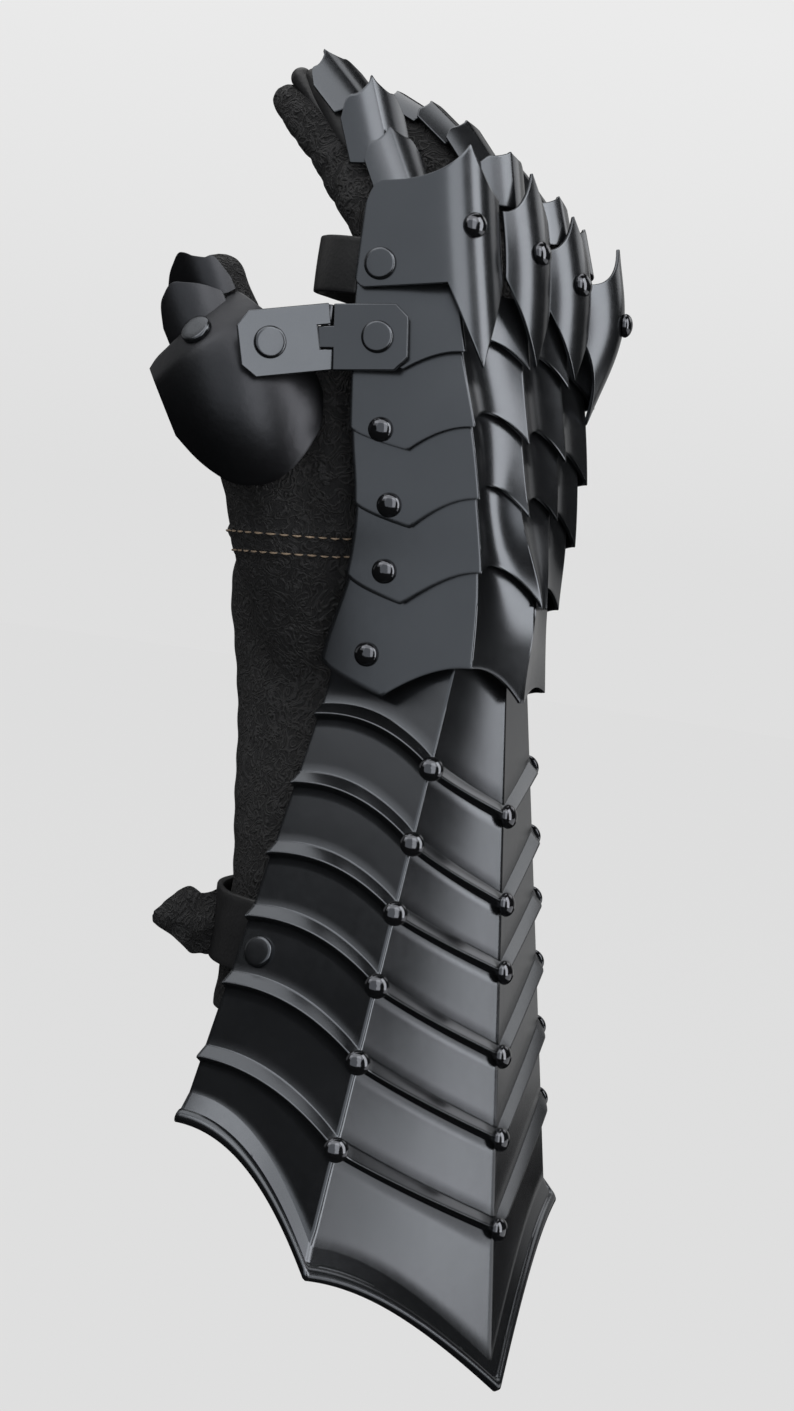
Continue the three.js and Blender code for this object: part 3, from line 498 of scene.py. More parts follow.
def bumped(tree, principled, height, distance, strength=1.0):
    """Bump from a height, as deep as distance in millimetres."""
    bump = node(tree, "ShaderNodeBump", links=[("Height", height)], in_Strength=strength,
                in_Distance=distance * MM)
    tree.links.new(bump.outputs[0], principled.inputs["Normal"])


def blackened_steel(name, low, high, rough, crinkle=0.0):
    """Oil-blackened mild steel sheet, beaten and rubbed down: a thin dark oxide with a satin sheen,
    cloudy over about 40 mm, with soft hammer marks 11 mm wide and a fine grain under 3 mm, which
    crinkle makes stronger."""
    material, tree, principled, coords = shader(name, Metallic=0.95)
    cloud = noise(tree, coords, 38, 3)
    fine = noise(tree, coords, 2.6, 5)
    tree.links.new(mixed(tree, cloud, low, high), principled.inputs["Base Color"])
    uneven = maths(tree, "ADD", maths(tree, "MULTIPLY", cloud, 0.10), maths(tree, "MULTIPLY", fine, 0.06))
    tree.links.new(maths(tree, "ADD", uneven, rough - 0.08), principled.inputs["Roughness"])
    beaten = noise(tree, coords, 11, 2)
    height = maths(tree, "ADD", beaten, maths(tree, "MULTIPLY", fine, 0.03 + crinkle))
    bumped(tree, principled, height, 0.1, 0.22 + crinkle)
    return material


def suede_leather():
    """Split-cowhide suede dyed black: a matt nap of short fibres over a squirming pressed grain, its
    worm-like ridges about 1 mm wide and 4 mm long, their tops a little less rough and painted lighter:
    a painted highlight."""
    material, tree, principled, coords = shader("suede_black_cowhide_split", Specular_IOR_Level=0.3,
                                                Sheen_Weight=0.04, Sheen_Roughness=0.5,
                                                Sheen_Tint=colour("#8f8c8a"))
    worm = noise(tree, coords, 6.0, 1, 0.4, 2.6)
    worm = ramp(tree, worm, [(0.40, 0.0), (0.47, 1.0), (0.53, 1.0), (0.60, 0.0)])
    nap = noise(tree, coords, 0.8, 6, 0.7)
    blotch = noise(tree, coords, 24, 4)
    tone = mixed(tree, blotch, "#08080a", "#101011")
    # The ridges' tops are painted lighter than the suede's own black: a painted highlight on the pressed
    # grain.
    painted_ridge_highlight = mixed(tree, maths(tree, "MULTIPLY", worm, 0.6), tone, "#202021")
    tree.links.new(painted_ridge_highlight, principled.inputs["Base Color"])
    matt = maths(tree, "SUBTRACT", 0.85, maths(tree, "MULTIPLY", worm, 0.3))
    tree.links.new(matt, principled.inputs["Roughness"])
    height = maths(tree, "ADD", worm, maths(tree, "MULTIPLY", nap, 0.5))
    bumped(tree, principled, height, 1.9, 1.0)
    return material


def strap_leather():
    """Smooth vegetable-tanned leather, dyed black and waxed: a low sheen over a pore grain drawn at
    1.1 mm, coarser than the real one so that it shows."""
    material, tree, principled, coords = shader("leather_black_waxed", Specular_IOR_Level=0.35)
    pores = node(tree, "ShaderNodeTexVoronoi", links=[("Vector", coords)], in_Scale=per_mm(1.1))
    soft = noise(tree, coords, 14, 4)
    tree.links.new(mixed(tree, soft, "#0c0c0d", "#19191a"), principled.inputs["Base Color"])
    waxed = maths(tree, "ADD", maths(tree, "MULTIPLY", soft, 0.25), 0.36)
    tree.links.new(waxed, principled.inputs["Roughness"])
    height = maths(tree, "ADD", maths(tree, "MULTIPLY", pores.outputs["Distance"], 0.35), soft)
    bumped(tree, principled, height, 0.25, 0.5)
    return material


def stitch_thread():
    """Waxed linen thread, tan and dulled by handling: twisted strands half a millimetre wide."""
    material, tree, principled, coords = shader("thread_waxed_linen", Roughness=0.75)
    twist = noise(tree, coords, 0.5, 3)
    tree.links.new(mixed(tree, twist, "#43382d", "#7d6c59"), principled.inputs["Base Color"])
    bumped(tree, principled, twist, 0.15, 0.6)
    return material


def studio_paper(name, hex_code):
    """Seamless background paper, lit evenly from its own lamps: a matt off-white."""
    return shader(name, Roughness=0.9, Emission_Strength=1.0, Base_Color=colour("#121212"),
                  Specular_IOR_Level=0.0, Emission_Color=colour(hex_code))[0]


STEEL = blackened_steel("steel_blackened_sheet", "#414346", "#4a4c4f", 0.22)
GUARD = blackened_steel("steel_blackened_thumb_guard", "#27272a", "#37383a", 0.36, crinkle=0.7)
RIVET = blackened_steel("steel_blackened_polished_rivet", "#3e3f42", "#4a4b4e", 0.1)
SUEDE_BLACK = suede_leather()
LEATHER = strap_leather()
THREAD = stitch_thread()


# ---- Rivets ----
DOME_R = 3.8
DOME_H = 2.9
FLAT_R = 4.9
FLAT_H = 1.5


def dome_rivet(point, normal):
    """Dome head: radius R*sin(a), height H*(0.16 + 0.84*cos(a)), over a short straight collar."""
    a = np.linspace(np.pi / 2, 0.12, 12)
    head = np.stack([DOME_R * np.sin(a), DOME_H * (0.16 + 0.84 * np.cos(a))], -1)
    profile = np.concatenate([[(0, 0), (DOME_R * 0.97, 0)], head, [(0, DOME_H)]])
    return turned_profile(profile, point, normal)


def flat_rivet(point, normal):
    """Flat head: a low disc with a rounded rim."""
    profile = [(0, 0), (FLAT_R, 0), (FLAT_R, 0.55), (FLAT_R - 0.1, 0.95), (FLAT_R - 0.35, 1.25),
               (FLAT_R - 0.75, 1.42), (FLAT_R - 1.2, 1.46), (2.2, FLAT_H), (1.0, FLAT_H), (0, FLAT_H)]
    return turned_profile(profile, point, normal)


def rivet_piece(name, shapes, replaced=(), material=RIVET):
    """One or more rivet heads as one piece."""
    return finish_piece(object_from(name, *joined(shapes), 40), material, replaced)


# ---- Cuff ----
def cuff_section(z):
    """Five corners of the cuff at each height, each a straight line in z up to the cuff's neck."""
    side, back, centre, palm, depth = (at - loss * np.minimum(z, stop) for at, loss, stop in CUFF_SECTION)
    zero = np.zeros_like(z)
    corners = [(-palm, depth), (-side, -back), (zero, -centre), (side, -back), (palm, depth)]
    return np.stack([np.stack(c, -1) for c in corners], 1)


def cuff_line(line, u, arches):
    """Height of a line across the cuff: straight between its three values, with arches
    4*t*(1-t) on the side and back faces."""
    across = np.minimum(u, 4 - u)
    palm, side, centre = line
    t = np.clip(across, 0, 1)
    s = np.clip(across - 1, 0, 1)
    return np.where(
        across <= 1,
        palm + (side - palm) * t + arches[0] * 4 * t * (1 - t),
        side + (centre - side) * s + arches[1] * 4 * s * (1 - s),
    )


def cuff_surface(u, z, off=0.0):
    """A point of the plain cuff at edge position u and height z, moved out by off."""
    depths = np.tile(CUFF_HOLLOWS, (len(u), 1))
    xy = ridged(cuff_section(z), depths, u, np.broadcast_to(off - CUFF_INSET, u.shape))
    return np.column_stack([xy, z])


def hem_offset(above):
    """How far the hem stands out: nothing above HEM_HEIGHT, then a straight flare, then half an
    ellipse for the rolled edge."""
    flare = HEM_FLARE * np.clip((HEM_HEIGHT - above) / (HEM_HEIGHT - ROLL_HEIGHT), 0, 1)
    half_roll = ROLL_HEIGHT / 2
    roll = ROLL_RISE * np.sqrt(np.clip(1 - ((above - half_roll) / half_roll) ** 2, 0, 1))
    return flare + roll


def cuff_shell():
    """The cuff from its scalloped hem to its top. Rows follow each rib: its height is a roof that
    rises to RIB_RISE on the rib's line and meets the plate RIB_UPPER above it and RIB_LOWER below."""
    u_values = eased(columns([(0, 1, 44), (1, 2, 44), (2, 3, 44), (3, 4, 44)]), [1, 2, 3], CUFF_EASE)
    low = cuff_line(HEM, u_values, HEM_ARCH)
    above = np.array([0, 0.06, 0.25, 0.6, 1.1, 1.6, 2.1, 2.6, 3.1, 3.6, 3.95, 4.14, 4.2, 5, 7, 8.7, 9.0])
    rows = [(low + h, np.full_like(low, hem_offset(h))) for h in above]
    # The roof's section: distance above its line, and share of its rise.
    profile = [(-RIB_LOWER - 0.15, 0), (-RIB_LOWER, 0.02), (-RIB_LOWER + 0.2, 0.12),
               (-RIB_LOWER + 0.35, 0.2), (-0.5, 0.86), (-0.3, 0.95), (0, 1), (0.35, 0.965), (0.55, 0.92),
               (RIB_UPPER - 0.5, 0.12), (RIB_UPPER - 0.3, 0.06), (RIB_UPPER, 0.01), (RIB_UPPER + 0.15, 0)]
    near = np.min(np.abs(u_values[:, None] - np.array([1, 2, 3])), axis=1)
    fade = 0.55 + 0.45 * smoothstep(0.0, 0.10, near)
    for line in reversed(RIBS):
        middle = cuff_line(line, u_values, (RIB_ARCH, 0.0))
        start = rows[-1][0]
        for t in np.linspace(0, 1, 7)[1:-1]:
            rows.append((start + (middle - RIB_LOWER - start) * t, np.zeros_like(low)))
        for away, height in profile:
            rows.append((middle + away, RIB_RISE * height * fade))
    start = rows[-1][0]
    for t in np.linspace(0, 1, 9)[1:]:
        rows.append((start + (CUFF_TOP - start) * t, np.zeros_like(low)))
    z = np.stack([row[0] for row in rows], 1)
    off = np.stack([row[1] for row in rows], 1)
    u = np.broadcast_to(u_values[:, None], z.shape)
    return cuff_surface(u.ravel(), z.ravel(), off.ravel()).reshape(*z.shape, 3)


finish_piece(sheet("cuff_sheet", cuff_shell(), CUFF_PLATE, 0.4, 50, 60), STEEL, ["cuff"])


def cuff_rivet(u, z):
    """A dome rivet on a rib, seated part of the way up the roof."""
    return dome_rivet(*surface_frame(lambda a, b: cuff_surface(a, b, RIB_RISE * RIB_SEAT), u, z, 0.05, 1))


for index, (_, side_z, centre_z) in enumerate(RIBS, 1):
    rivet_piece(f"dome_cuff_side_{index}", [cuff_rivet(1, side_z)], [f"rivet_cuff_side_{index}"])
    rivet_piece(f"dome_cuff_centre_{index}", [cuff_rivet(2, centre_z)], [f"rivet_cuff_centre_{index}"])
rivet_piece("domes_cuff_outer", [cuff_rivet(3.06, line[1]) for line in RIBS])
strap_heads = [flat_rivet(*surface_frame(cuff_surface, u, STRAP_RIVET_Z, 0.05, 1)) for u in STRAP_RIVETS]
rivet_piece("flat_rivet_strap", [strap_heads[0]], ["rivet_strap"], STEEL)
rivet_piece("flat_rivet_strap_outer", [strap_heads[1]], (), STEEL)


# ---- Hand lames ----
def hand_surface(u, z, off=0.0):
    """Back of the hand at edge position u and height z; the valleys deepen from the wrist up."""
    edges = np.stack([smooth_lookup(edge, z) for edge in HAND], 1)
    depths = np.tile(np.array(VALLEYS, float), (len(u), 1))
    deep = np.clip((z - 25) / 35, 0.15, 1)
    depths[:, 1] *= deep
    depths[:, 3] *= deep
    depths[:, 2] *= np.clip((z - 40) / 30, 0, 1)
    xy = ridged(edges, depths, u, np.broadcast_to(off, u.shape))
    return np.column_stack([xy, z])


def lame_low(marks, u, scallop=SCALLOP):
    """Lower edge: on the flat sides, down to the lobe as the root of the way and up to the ridge as
    1-(1-t)^1.8; between ridges a parabola above the straight line."""
    thumb_edge, lobe, r1, r2, r3, r4, outer_lobe, outer_edge = marks

    def side(edge, low, ridge, t):
        t = np.clip(t, 0, 1)
        first = edge + (low - edge) * np.clip(t / LOBE_AT, 0, 1) ** 0.55
        rise = np.clip((t - LOBE_AT) / (1 - LOBE_AT), 0, 1)
        return np.where(t <= LOBE_AT, first, low + (ridge - low) * (1 - (1 - rise) ** 1.8))

    ridges = np.array([r1, r2, r3, r4], float)
    i = np.clip(np.floor(u).astype(int) - 1, 0, 2)
    t = u - 1 - i
    pinched = np.where((i == 1) & (r2 == r3), 0.0, 1.0)
    middle = ridges[i] + (ridges[i + 1] - ridges[i]) * t + pinched * scallop * 4 * t * (1 - t)
    return np.where(u <= 1, side(thumb_edge, lobe, r1, u),
                    np.where(u >= 4, side(outer_edge, outer_lobe, r4, 5 - u), middle))


def lame_surface(nominal, u, z, off=0.0):
    """A lame leans out of the hand's surface, SHINGLE for each LAME_PITCH toward the wrist."""
    return hand_surface(u, z, off - SHINGLE * (z - nominal) / LAME_PITCH)


def lame_rivet(nominal, u, z):
    """A dome rivet on a lame."""
    return dome_rivet(*surface_frame(lambda a, b: lame_surface(nominal, a, b), u, z, 0.03, 1))


LAME_COLUMNS = eased(columns([(0, 1, 34), (1, 2, 20), (2, 3, 18), (3, 4, 20), (4, 5, 34)]), [1, 2, 3, 4],
                     LAME_EASE)
for lame_name, (nominal, marks, top) in LAMES.items():
    v_values = np.linspace(0, 1, 30)
    u, v = (a.ravel() for a in np.meshgrid(LAME_COLUMNS, v_values, indexing="ij"))
    low = lame_low(marks, u, SCALLOP / 2 if lame_name == "lame_5" else SCALLOP)
    grid = lame_surface(nominal, u, low + (top - low) * v).reshape(len(LAME_COLUMNS), len(v_values), 3)
    finish_piece(sheet(lame_name + "_sheet", grid, PLATE, 0.42, 45, 50), STEEL, [lame_name])
    if lame_name in LAME_RIVETS:
        at_u, at_z = LAME_RIVETS[lame_name]
        rivet_piece("dome_" + lame_name, [lame_rivet(nominal, at_u, at_z)], ["rivet_" + lame_name])
        rivet_piece("dome_outer_" + lame_name, [lame_rivet(nominal, 5 - at_u, at_z - OUTER_RIVET_DROP)])


# ---- Knuckle plates ----
def knuckle_surface(plate, flap, u, z, off=0.0):
    """An arch across the crest, turned toward the thumb. A side falls as curl * way^2; the index
    plate's thumb side bends like that and then runs straight to the flap's edge."""
    x, y = smooth_lookup(plate.crest, z).T
    turn = math.radians(plate.turn)
    across = np.array((math.cos(turn), -math.sin(turn)))
    out = np.array((-math.sin(turn), -math.cos(turn)))
    curl = plate.curl
    reach = np.full_like(x, plate.half)
    bend = reach.copy()
    if flap:
        edge = np.column_stack([FLAP["x"] - x, FLAP["y"] - y])
        to_edge = -(edge @ across)
        curl = np.where(u < 0, FLAP["curl"], curl)
        bent = to_edge - np.sqrt(np.clip(to_edge**2 + (edge @ out) / curl, 0, None))
        reach = np.where(u < 0, to_edge, reach)
        bend = np.where(u < 0, np.minimum(bent, reach), bend)
    way = np.abs(u) * reach
    bent = np.minimum(way, bend)
    fall = curl * bent * (2 * way - bent)
    side = np.sign(u)
    x_at, y_at = (start + across[k] * side * way - out[k] * fall for k, start in enumerate((x, y)))
    base = np.column_stack([x_at, y_at, z])
    lean = (2 * curl * bent * side)[:, None]
    sideways = unit(np.column_stack([across - out * lean, np.zeros_like(x)]))
    nx, ny = smooth_lookup(plate.crest, z + 1).T
    slope = unit(np.column_stack([nx - x, ny - y, np.ones_like(x)]))
    return base + unit(np.cross(sideways, slope)) * np.reshape(off, (-1, 1))


def knuckle_rows(plate, flap, u):
    """Lower and upper edge heights: a point at the crest below and an apex above it."""
    point, apex = plate.crest[0][0], plate.crest[-1][0]
    t = np.abs(u)
    low = point + (plate.low_corner - point) * t**0.9
    high = plate.high_corner + (apex - plate.high_corner) * (1 - t) ** 1.8
    if flap:
        inner = FLAP["low"] + FLAP["slope"]
        flap_low = np.where(t < 0.3, point + (inner - point) * t / 0.3,
                            inner - FLAP["slope"] * (t - 0.3) / 0.7)
        rounded = 7.7 * np.clip((t - 0.86) / 0.14, 0, 1) ** 3
        flap_high = FLAP["high"] + (apex - FLAP["high"]) * (1 - t) ** 2.2 - rounded
        low = np.where(u < 0, flap_low + 3 * np.clip((t - 0.93) / 0.07, 0, 1) ** 2, low)
        high = np.where(u < 0, flap_high, high)
    return low, high


def knuckle_frame(plate, flap, u, z, step):
    """Point and normal of a knuckle plate."""
    return surface_frame(lambda a, b: knuckle_surface(plate, flap, a, b), u, z, step, 1)


for knuckle_name, plate in KNUCKLES.items():
    has_flap = knuckle_name == "knuckle_index"
    u_values = columns([(-1, 0, 40 if has_flap else 16), (0, 1, 16)])
    v_values = np.linspace(0, 1, 44)
    u, v = (a.ravel() for a in np.meshgrid(u_values, v_values, indexing="ij"))
    low, high = knuckle_rows(plate, has_flap, u)
    points = knuckle_surface(plate, has_flap, u, low + (high - low) * v)
    grid = points.reshape(len(u_values), len(v_values), 3)
    finish_piece(sheet(knuckle_name + "_sheet", grid, PLATE), STEEL, [knuckle_name])
    crest_head = dome_rivet(*knuckle_frame(plate, has_flap, 0, plate.rivet, 0.1))
    rivet_piece("dome_" + knuckle_name, [crest_head], ["rivet_" + knuckle_name])
    if has_flap:
        flap_head = flat_rivet(*knuckle_frame(plate, True, *FLAP_RIVET, 0.03))
        rivet_piece("flat_rivet_index_flap", [flap_head], ["rivet_index_flap"], STEEL)


# ---- Dished plates ----
def dish_surface(centre, axes, shape, a, b):
    """Height over the plate's own plane is -roof*|a| - curl*a^2 - bow*b^2. Past the line
    b = at + slope*a it also folds back by bend for each millimetre, over a soft crease."""
    across, along, out = axes
    roof, curl, bow, fold = shape
    rise = -roof * np.sqrt(a * a + 0.04) - curl * a * a - bow * b * b
    if fold:
        past = b - fold[0] - fold[1] * a
        rise = rise - fold[2] * (past + np.sqrt(past * past + 1.2)) / 2
    return np.asarray(centre, float) + a[:, None] * across + b[:, None] * along + rise[:, None] * out


def dish_grid(centre, axes, shape, a_values, low, high, rows):
    """Rows from the outline's low edge to its high edge at each position across."""
    v = np.linspace(0, 1, rows)
    b = low[:, None] + (high - low)[:, None] * v
    return dish_surface(centre, axes, shape, np.repeat(a_values, rows), b.ravel()).reshape(*b.shape, 3)


def tilted(vector, side, turn):
    """A unit vector turned toward another at right angles to it."""
    return side * math.sin(turn) + vector * math.cos(turn)


for scale_name, (y, z, pitch, length, half) in SCALES.items():
    x, roll, depth = FINGERS[scale_name.split("_")[1]]
    pitch, turn = math.radians(pitch), math.radians(roll)
    flat_out = np.array((0, -math.cos(pitch), math.sin(pitch)))
    axes = (tilted(np.array((1.0, 0, 0)), flat_out, turn), np.array((0, math.sin(pitch), math.cos(pitch))),
            tilted(flat_out, np.array((-1.0, 0, 0)), turn))
    a_values = columns([(-half, 0, 24), (0, half, 24)])
    share = np.abs(a_values) / half
    low = -length * (1 - SCALE_TRIM * share**2)
    high = -length * depth * smooth_lookup(SCALE_EDGE, share)[:, 0]
    grid = dish_grid((x, y, z), axes, (SCALE_ROOF, SCALE_CURL, 0, None), a_values, low, high, 24)
    finish_piece(sheet(scale_name + "_sheet", grid, PLATE, 0.3), STEEL, [scale_name])

for plate_name, (centre, curl, bow, fold, outline) in THUMB_PLATES.items():
    a_values = np.linspace(outline[0][0], outline[-1][0], 56)
    low, high = smooth_lookup(outline, a_values).T
    grid = dish_grid(centre, THUMB_AXES, (0.0, curl, bow, fold), a_values, low, high, 50)
    finish_piece(sheet(plate_name + "_sheet", grid, PLATE), GUARD, [plate_name])


def on_thumb_plate(a, b):
    """A point of the thumb's base plate."""
    centre, curl, bow, fold = THUMB_PLATES["thumb_plate"][:4]
    return dish_surface(centre, THUMB_AXES, (0.0, curl, bow, fold), a, b)


thumb_head = flat_rivet(*surface_frame(on_thumb_plate, *THUMB_RIVET, 1, 1))
rivet_piece("flat_rivet_thumb_plate", [thumb_head], ["rivet_thumb_plate"], STEEL)

# ---- Hinge ----
# A leaf reaches from the pin, which stands clear of the first lame's edge by overhang and stand-off.
LEAF = {"length": 26.0, "height": 20.0, "thick": 1.5, "chamfer": 4.0, "bevel": 0.35, "rivet_at": 0.64,
        "overhang": 8.0, "stand_off": 2.4}
# The knuckles' half height, how far the slots between them are cut in, and how far the tongues reach.
LEAF_STEP = 3.3
LEAF_PLAY = 0.3
LEAF_SLOT = {"hand": 2.9, "thumb": 1.7}
LEAF_TONGUE = -2.5
HAND_LEAF_TILT = math.radians(7.5)
THUMB_LEAF_WAY = (-0.7, 0.685, -0.25)
# The rolled knuckles: where each starts and ends along the pin, their radius, and how far they are in.
BARREL_PARTS = ((-10, -3.5), (-3.1, 3.1), (3.5, 10))
BARREL_R = 2.4
BARREL_IN = 2.3


def lame_1_point(u, z):
    """One point of the first lame."""
    return lame_surface(LAMES["lame_1"][0], np.array([u], float), np.array([z], float))[0]


face_edge = lame_1_point(0, 115)
face_in = unit(lame_1_point(0.5, 115) - face_edge)
face_up = unit(lame_1_point(0.2, 123) - lame_1_point(0.2, 107))
face_out = unit(np.cross(face_in, face_up))
pin_at = face_edge + face_out * LEAF["stand_off"] - face_in * LEAF["overhang"]
leaf_up = unit(np.cross(face_out, face_in))


def hinge_leaf(name, direction, hand_side, replaced):
    """Leaf outline from the pin outward, extruded by its thickness, its edges bevelled. The hand leaf
    has one tongue in the middle, the thumb leaf one at each end."""
    half, length, chamfer = LEAF["height"] / 2, LEAF["length"], LEAF["chamfer"]
    if hand_side:
        step, middle, end = LEAF_STEP, LEAF_TONGUE, LEAF_SLOT["hand"]
    else:
        step, middle, end = LEAF_STEP + LEAF_PLAY, LEAF_SLOT["thumb"], LEAF_TONGUE
    root = [(end, half), (end, step), (middle, step), (middle, -step), (end, -step), (end, -half)]
    outline = np.array(root + [(length - chamfer, -half), (length, chamfer - half), (length, half - chamfer),
                               (length - chamfer, half)])
    out = unit(np.cross(direction, leaf_up)) * (1 if hand_side else -1)
    up = unit(np.cross(out, direction))
    flat = pin_at + outline[:, :1] * direction + outline[:, 1:] * up
    count = len(outline)
    points = np.concatenate([flat - out * LEAF["thick"] / 2, flat + out * LEAF["thick"] / 2])
    ring = list(range(count))
    faces = [ring, [i + count for i in reversed(ring)]]
    faces += [[i, i + count, (i + 1) % count + count, (i + 1) % count] for i in ring]
    piece = object_from(name, points, faces, 20)
    tidy = bmesh.new()
    tidy.from_mesh(piece.data)
    bmesh.ops.recalc_face_normals(tidy, faces=tidy.faces)
    tidy.to_mesh(piece.data)
    tidy.free()
    edge = piece.modifiers.new("edge", "BEVEL")
    edge.width = LEAF["bevel"] * MM
    edge.segments = 3
    finish_piece(piece, STEEL, [replaced])
    rivet_at = pin_at + direction * length * LEAF["rivet_at"] + out * LEAF["thick"] / 2
    return rivet_at, out


def hinge_barrel():
    """Three rolled knuckles round the pin, end to end along it with narrow joints, their rims eased
    by 0.3 mm."""
    shapes = []
    for low, high in BARREL_PARTS:
        length = high - low
        profile = [(0, 0), (BARREL_R - 0.3, 0), (BARREL_R, 0.3), (BARREL_R, length - 0.3),
                   (BARREL_R - 0.3, length), (0, length)]
        shapes.append(turned_profile(profile, pin_at - face_out * BARREL_IN + leaf_up * low, leaf_up, 20))
    return finish_piece(object_from("hinge_barrel", *joined(shapes), 40), RIVET)


hinge_barrel()
hand_way = face_in * math.cos(HAND_LEAF_TILT) + face_up * math.sin(HAND_LEAF_TILT)
hand_rivet = hinge_leaf("hinge_hand_leaf_plate", hand_way, True, "hinge_hand_leaf")
thumb_rivet = hinge_leaf("hinge_thumb_leaf_plate", unit(THUMB_LEAF_WAY), False, "hinge_thumb_leaf")
rivet_piece("flat_rivet_hinge_hand", [flat_rivet(*hand_rivet)], ["rivet_hinge_hand"], STEEL)
rivet_piece("flat_rivet_hinge_thumb", [flat_rivet(*thumb_rivet)], ["rivet_hinge_thumb"], STEEL)


# ---- Glove ----
def body_rings():
    """Rings of the glove's body: rounded rectangles |x/a|^2.5 + |y/b|^2.5 = 1 whose sizes run
    smoothly from row to row."""
    z = np.linspace(GLOVE[0][0] - 6, GLOVE[-1][0], 90)
    centre, half_x, half_y = smooth_lookup(GLOVE, z).T
    angle = np.linspace(0, 2 * np.pi, 96, endpoint=False)
    cos, sin = np.cos(angle), np.sin(angle)
    cx, sy = np.sign(cos) * np.abs(cos) ** 0.8, np.sign(sin) * np.abs(sin) ** 0.8
    x = half_x[:, None] * cx
    y = centre[:, None] + half_y[:, None] * sy
    return np.stack([x, y, np.broadcast_to(z[:, None], x.shape)], -1)


def digit_rings(rows):
    """Rings round a smooth path through the digit's rows, ending in a half-round tip."""
    rows = np.asarray(rows, float)
    steps = np.concatenate([[0], np.cumsum(np.linalg.norm(np.diff(rows[:, :3], axis=0), axis=1))])
    table = np.column_stack([steps, rows])
    s = np.linspace(0, steps[-1], 40)
    path = smooth_lookup(table, s)
    forward = unit(np.gradient(path[:, :3], axis=0))
    side = unit(np.cross(forward, (0.3, -0.85, 0.43)))
    up = np.cross(side, forward)
    angle = np.linspace(0, 2 * np.pi, 40, endpoint=False)
    round_tip = np.linspace(0, 1, 9)[1:-1] * np.pi / 2
    tip_centres = path[-1, :3] + forward[-1] * path[-1, 3] * np.sin(round_tip)[:, None]
    centres = np.concatenate([path[:, :3], tip_centres])
    radii = np.concatenate([path[:, 3], path[-1, 3] * np.cos(round_tip)])
    sides = np.concatenate([side, np.repeat(side[-1:], len(round_tip), 0)])
    ups = np.concatenate([up, np.repeat(up[-1:], len(round_tip), 0)])
    ring = np.cos(angle)[None, :, None] * sides[:, None] + np.sin(angle)[None, :, None] * ups[:, None]
    return centres[:, None] + radii[:, None, None] * ring


def capped(rings):
    """Closed mesh through rings, with a fan at each end."""
    count, ring = rings.shape[:2]
    points = np.concatenate([rings.reshape(-1, 3), rings[0].mean(0)[None], rings[-1].mean(0)[None]])
    base, last = count * ring, (count - 1) * ring
    j = np.arange(ring)
    after = (j + 1) % ring
    faces = grid_faces(count, ring, close=True).tolist()
    faces += np.stack([np.full(ring, base), j, after], -1).tolist()
    faces += np.stack([np.full(ring, base + 1), last + after, last + j], -1).tolist()
    return points, faces


def applied(piece):
    """The piece's mesh with its modifiers worked in."""
    bpy.context.view_layer.update()
    evaluated = piece.evaluated_get(bpy.context.evaluated_depsgraph_get())
    mesh = bpy.data.meshes.new_from_object(evaluated)
    piece.modifiers.clear()
    piece.data = mesh
    return piece


def fold_line(x, y):
    """Height of the sleeve's folded top, rising toward the little finger and the back of the hand."""
    return FOLD_Z + FOLD_SLOPE * (0.533 * x - 0.833 * y + 40)


def glove_relief(points, normals):
    """Moves the suede in or out along its normals: the sleeve's folded top stands FOLD_STEP proud,
    with two sewn grooves; powers of sine waves, faded by bell curves, crease the thumb's root and the
    finger joints; slower waves rumple the wrist and the whole skin."""
    x, y, z = points.T
    line = fold_line(x, y)
    off = FOLD_STEP * (1 - smoothstep(line - 0.6, line + 0.6, z))
    for drop in STITCH_DROPS:
        off -= 0.45 * np.exp(-((z - line + drop) / 0.9) ** 2)
    thumb = np.exp(-(((x + 42) / 16) ** 2 + ((y - 45) / 18) ** 2 + ((z - 82) / 16) ** 2))
    off -= 0.9 * thumb * (0.5 + 0.5 * np.sin(0.62 * z + 0.5 * y + 0.2 * x)) ** 3
    joint = np.exp(-((z - 165) / 14) ** 2)
    off -= 0.7 * joint * (0.5 + 0.5 * np.sin(0.75 * (z * 0.8 + y * 0.6))) ** 4
    wrist = np.exp(-((z - 8) / 42) ** 2)
    off += 0.55 * wrist * np.sin(0.11 * z + 0.05 * x + 1.3 * np.sin(0.06 * y)) * smoothstep(20, 45, y)
    off += 0.35 * np.sin(0.23 * x + 0.31 * z) * np.sin(0.19 * y - 0.27 * z)
    return points + normals * off[:, None]


def build_glove():
    """Body and digits are joined by a voxel remesh, smoothed, cut open at the sleeve's mouth, given
    their creases and then their leather's thickness."""
    parts = [capped(body_rings())] + [capped(digit_rings(rows)) for rows in DIGITS]
    piece = object_from("glove_suede", *joined(parts), 0)
    remesh = piece.modifiers.new("join", "REMESH")
    remesh.mode = "VOXEL"
    remesh.voxel_size = SUEDE_VOXEL * MM
    even = piece.modifiers.new("even", "SMOOTH")
    even.factor = 0.5
    even.iterations = 8
    applied(piece)
    tidy = bmesh.new()
    tidy.from_mesh(piece.data)
    mouth = GLOVE[0][0] * MM
    bmesh.ops.bisect_plane(tidy, geom=tidy.verts[:] + tidy.edges[:] + tidy.faces[:], plane_co=(0, 0, mouth),
                           plane_no=(0, 0, -1), clear_outer=True)
    tidy.to_mesh(piece.data)
    tidy.free()
    mesh = piece.data
    count = len(mesh.vertices)
    co = np.empty(count * 3)
    mesh.vertices.foreach_get("co", co)
    normal = np.empty(count * 3)
    mesh.vertex_normals.foreach_get("vector", normal)
    moved = glove_relief(co.reshape(-1, 3) / MM, normal.reshape(-1, 3)) * MM
    mesh.vertices.foreach_set("co", moved.ravel())
    mesh.update()
    mesh.shade_smooth()
    wall = piece.modifiers.new("wall", "SOLIDIFY")
    wall.thickness = SUEDE * MM
    wall.offset = -1
    return piece


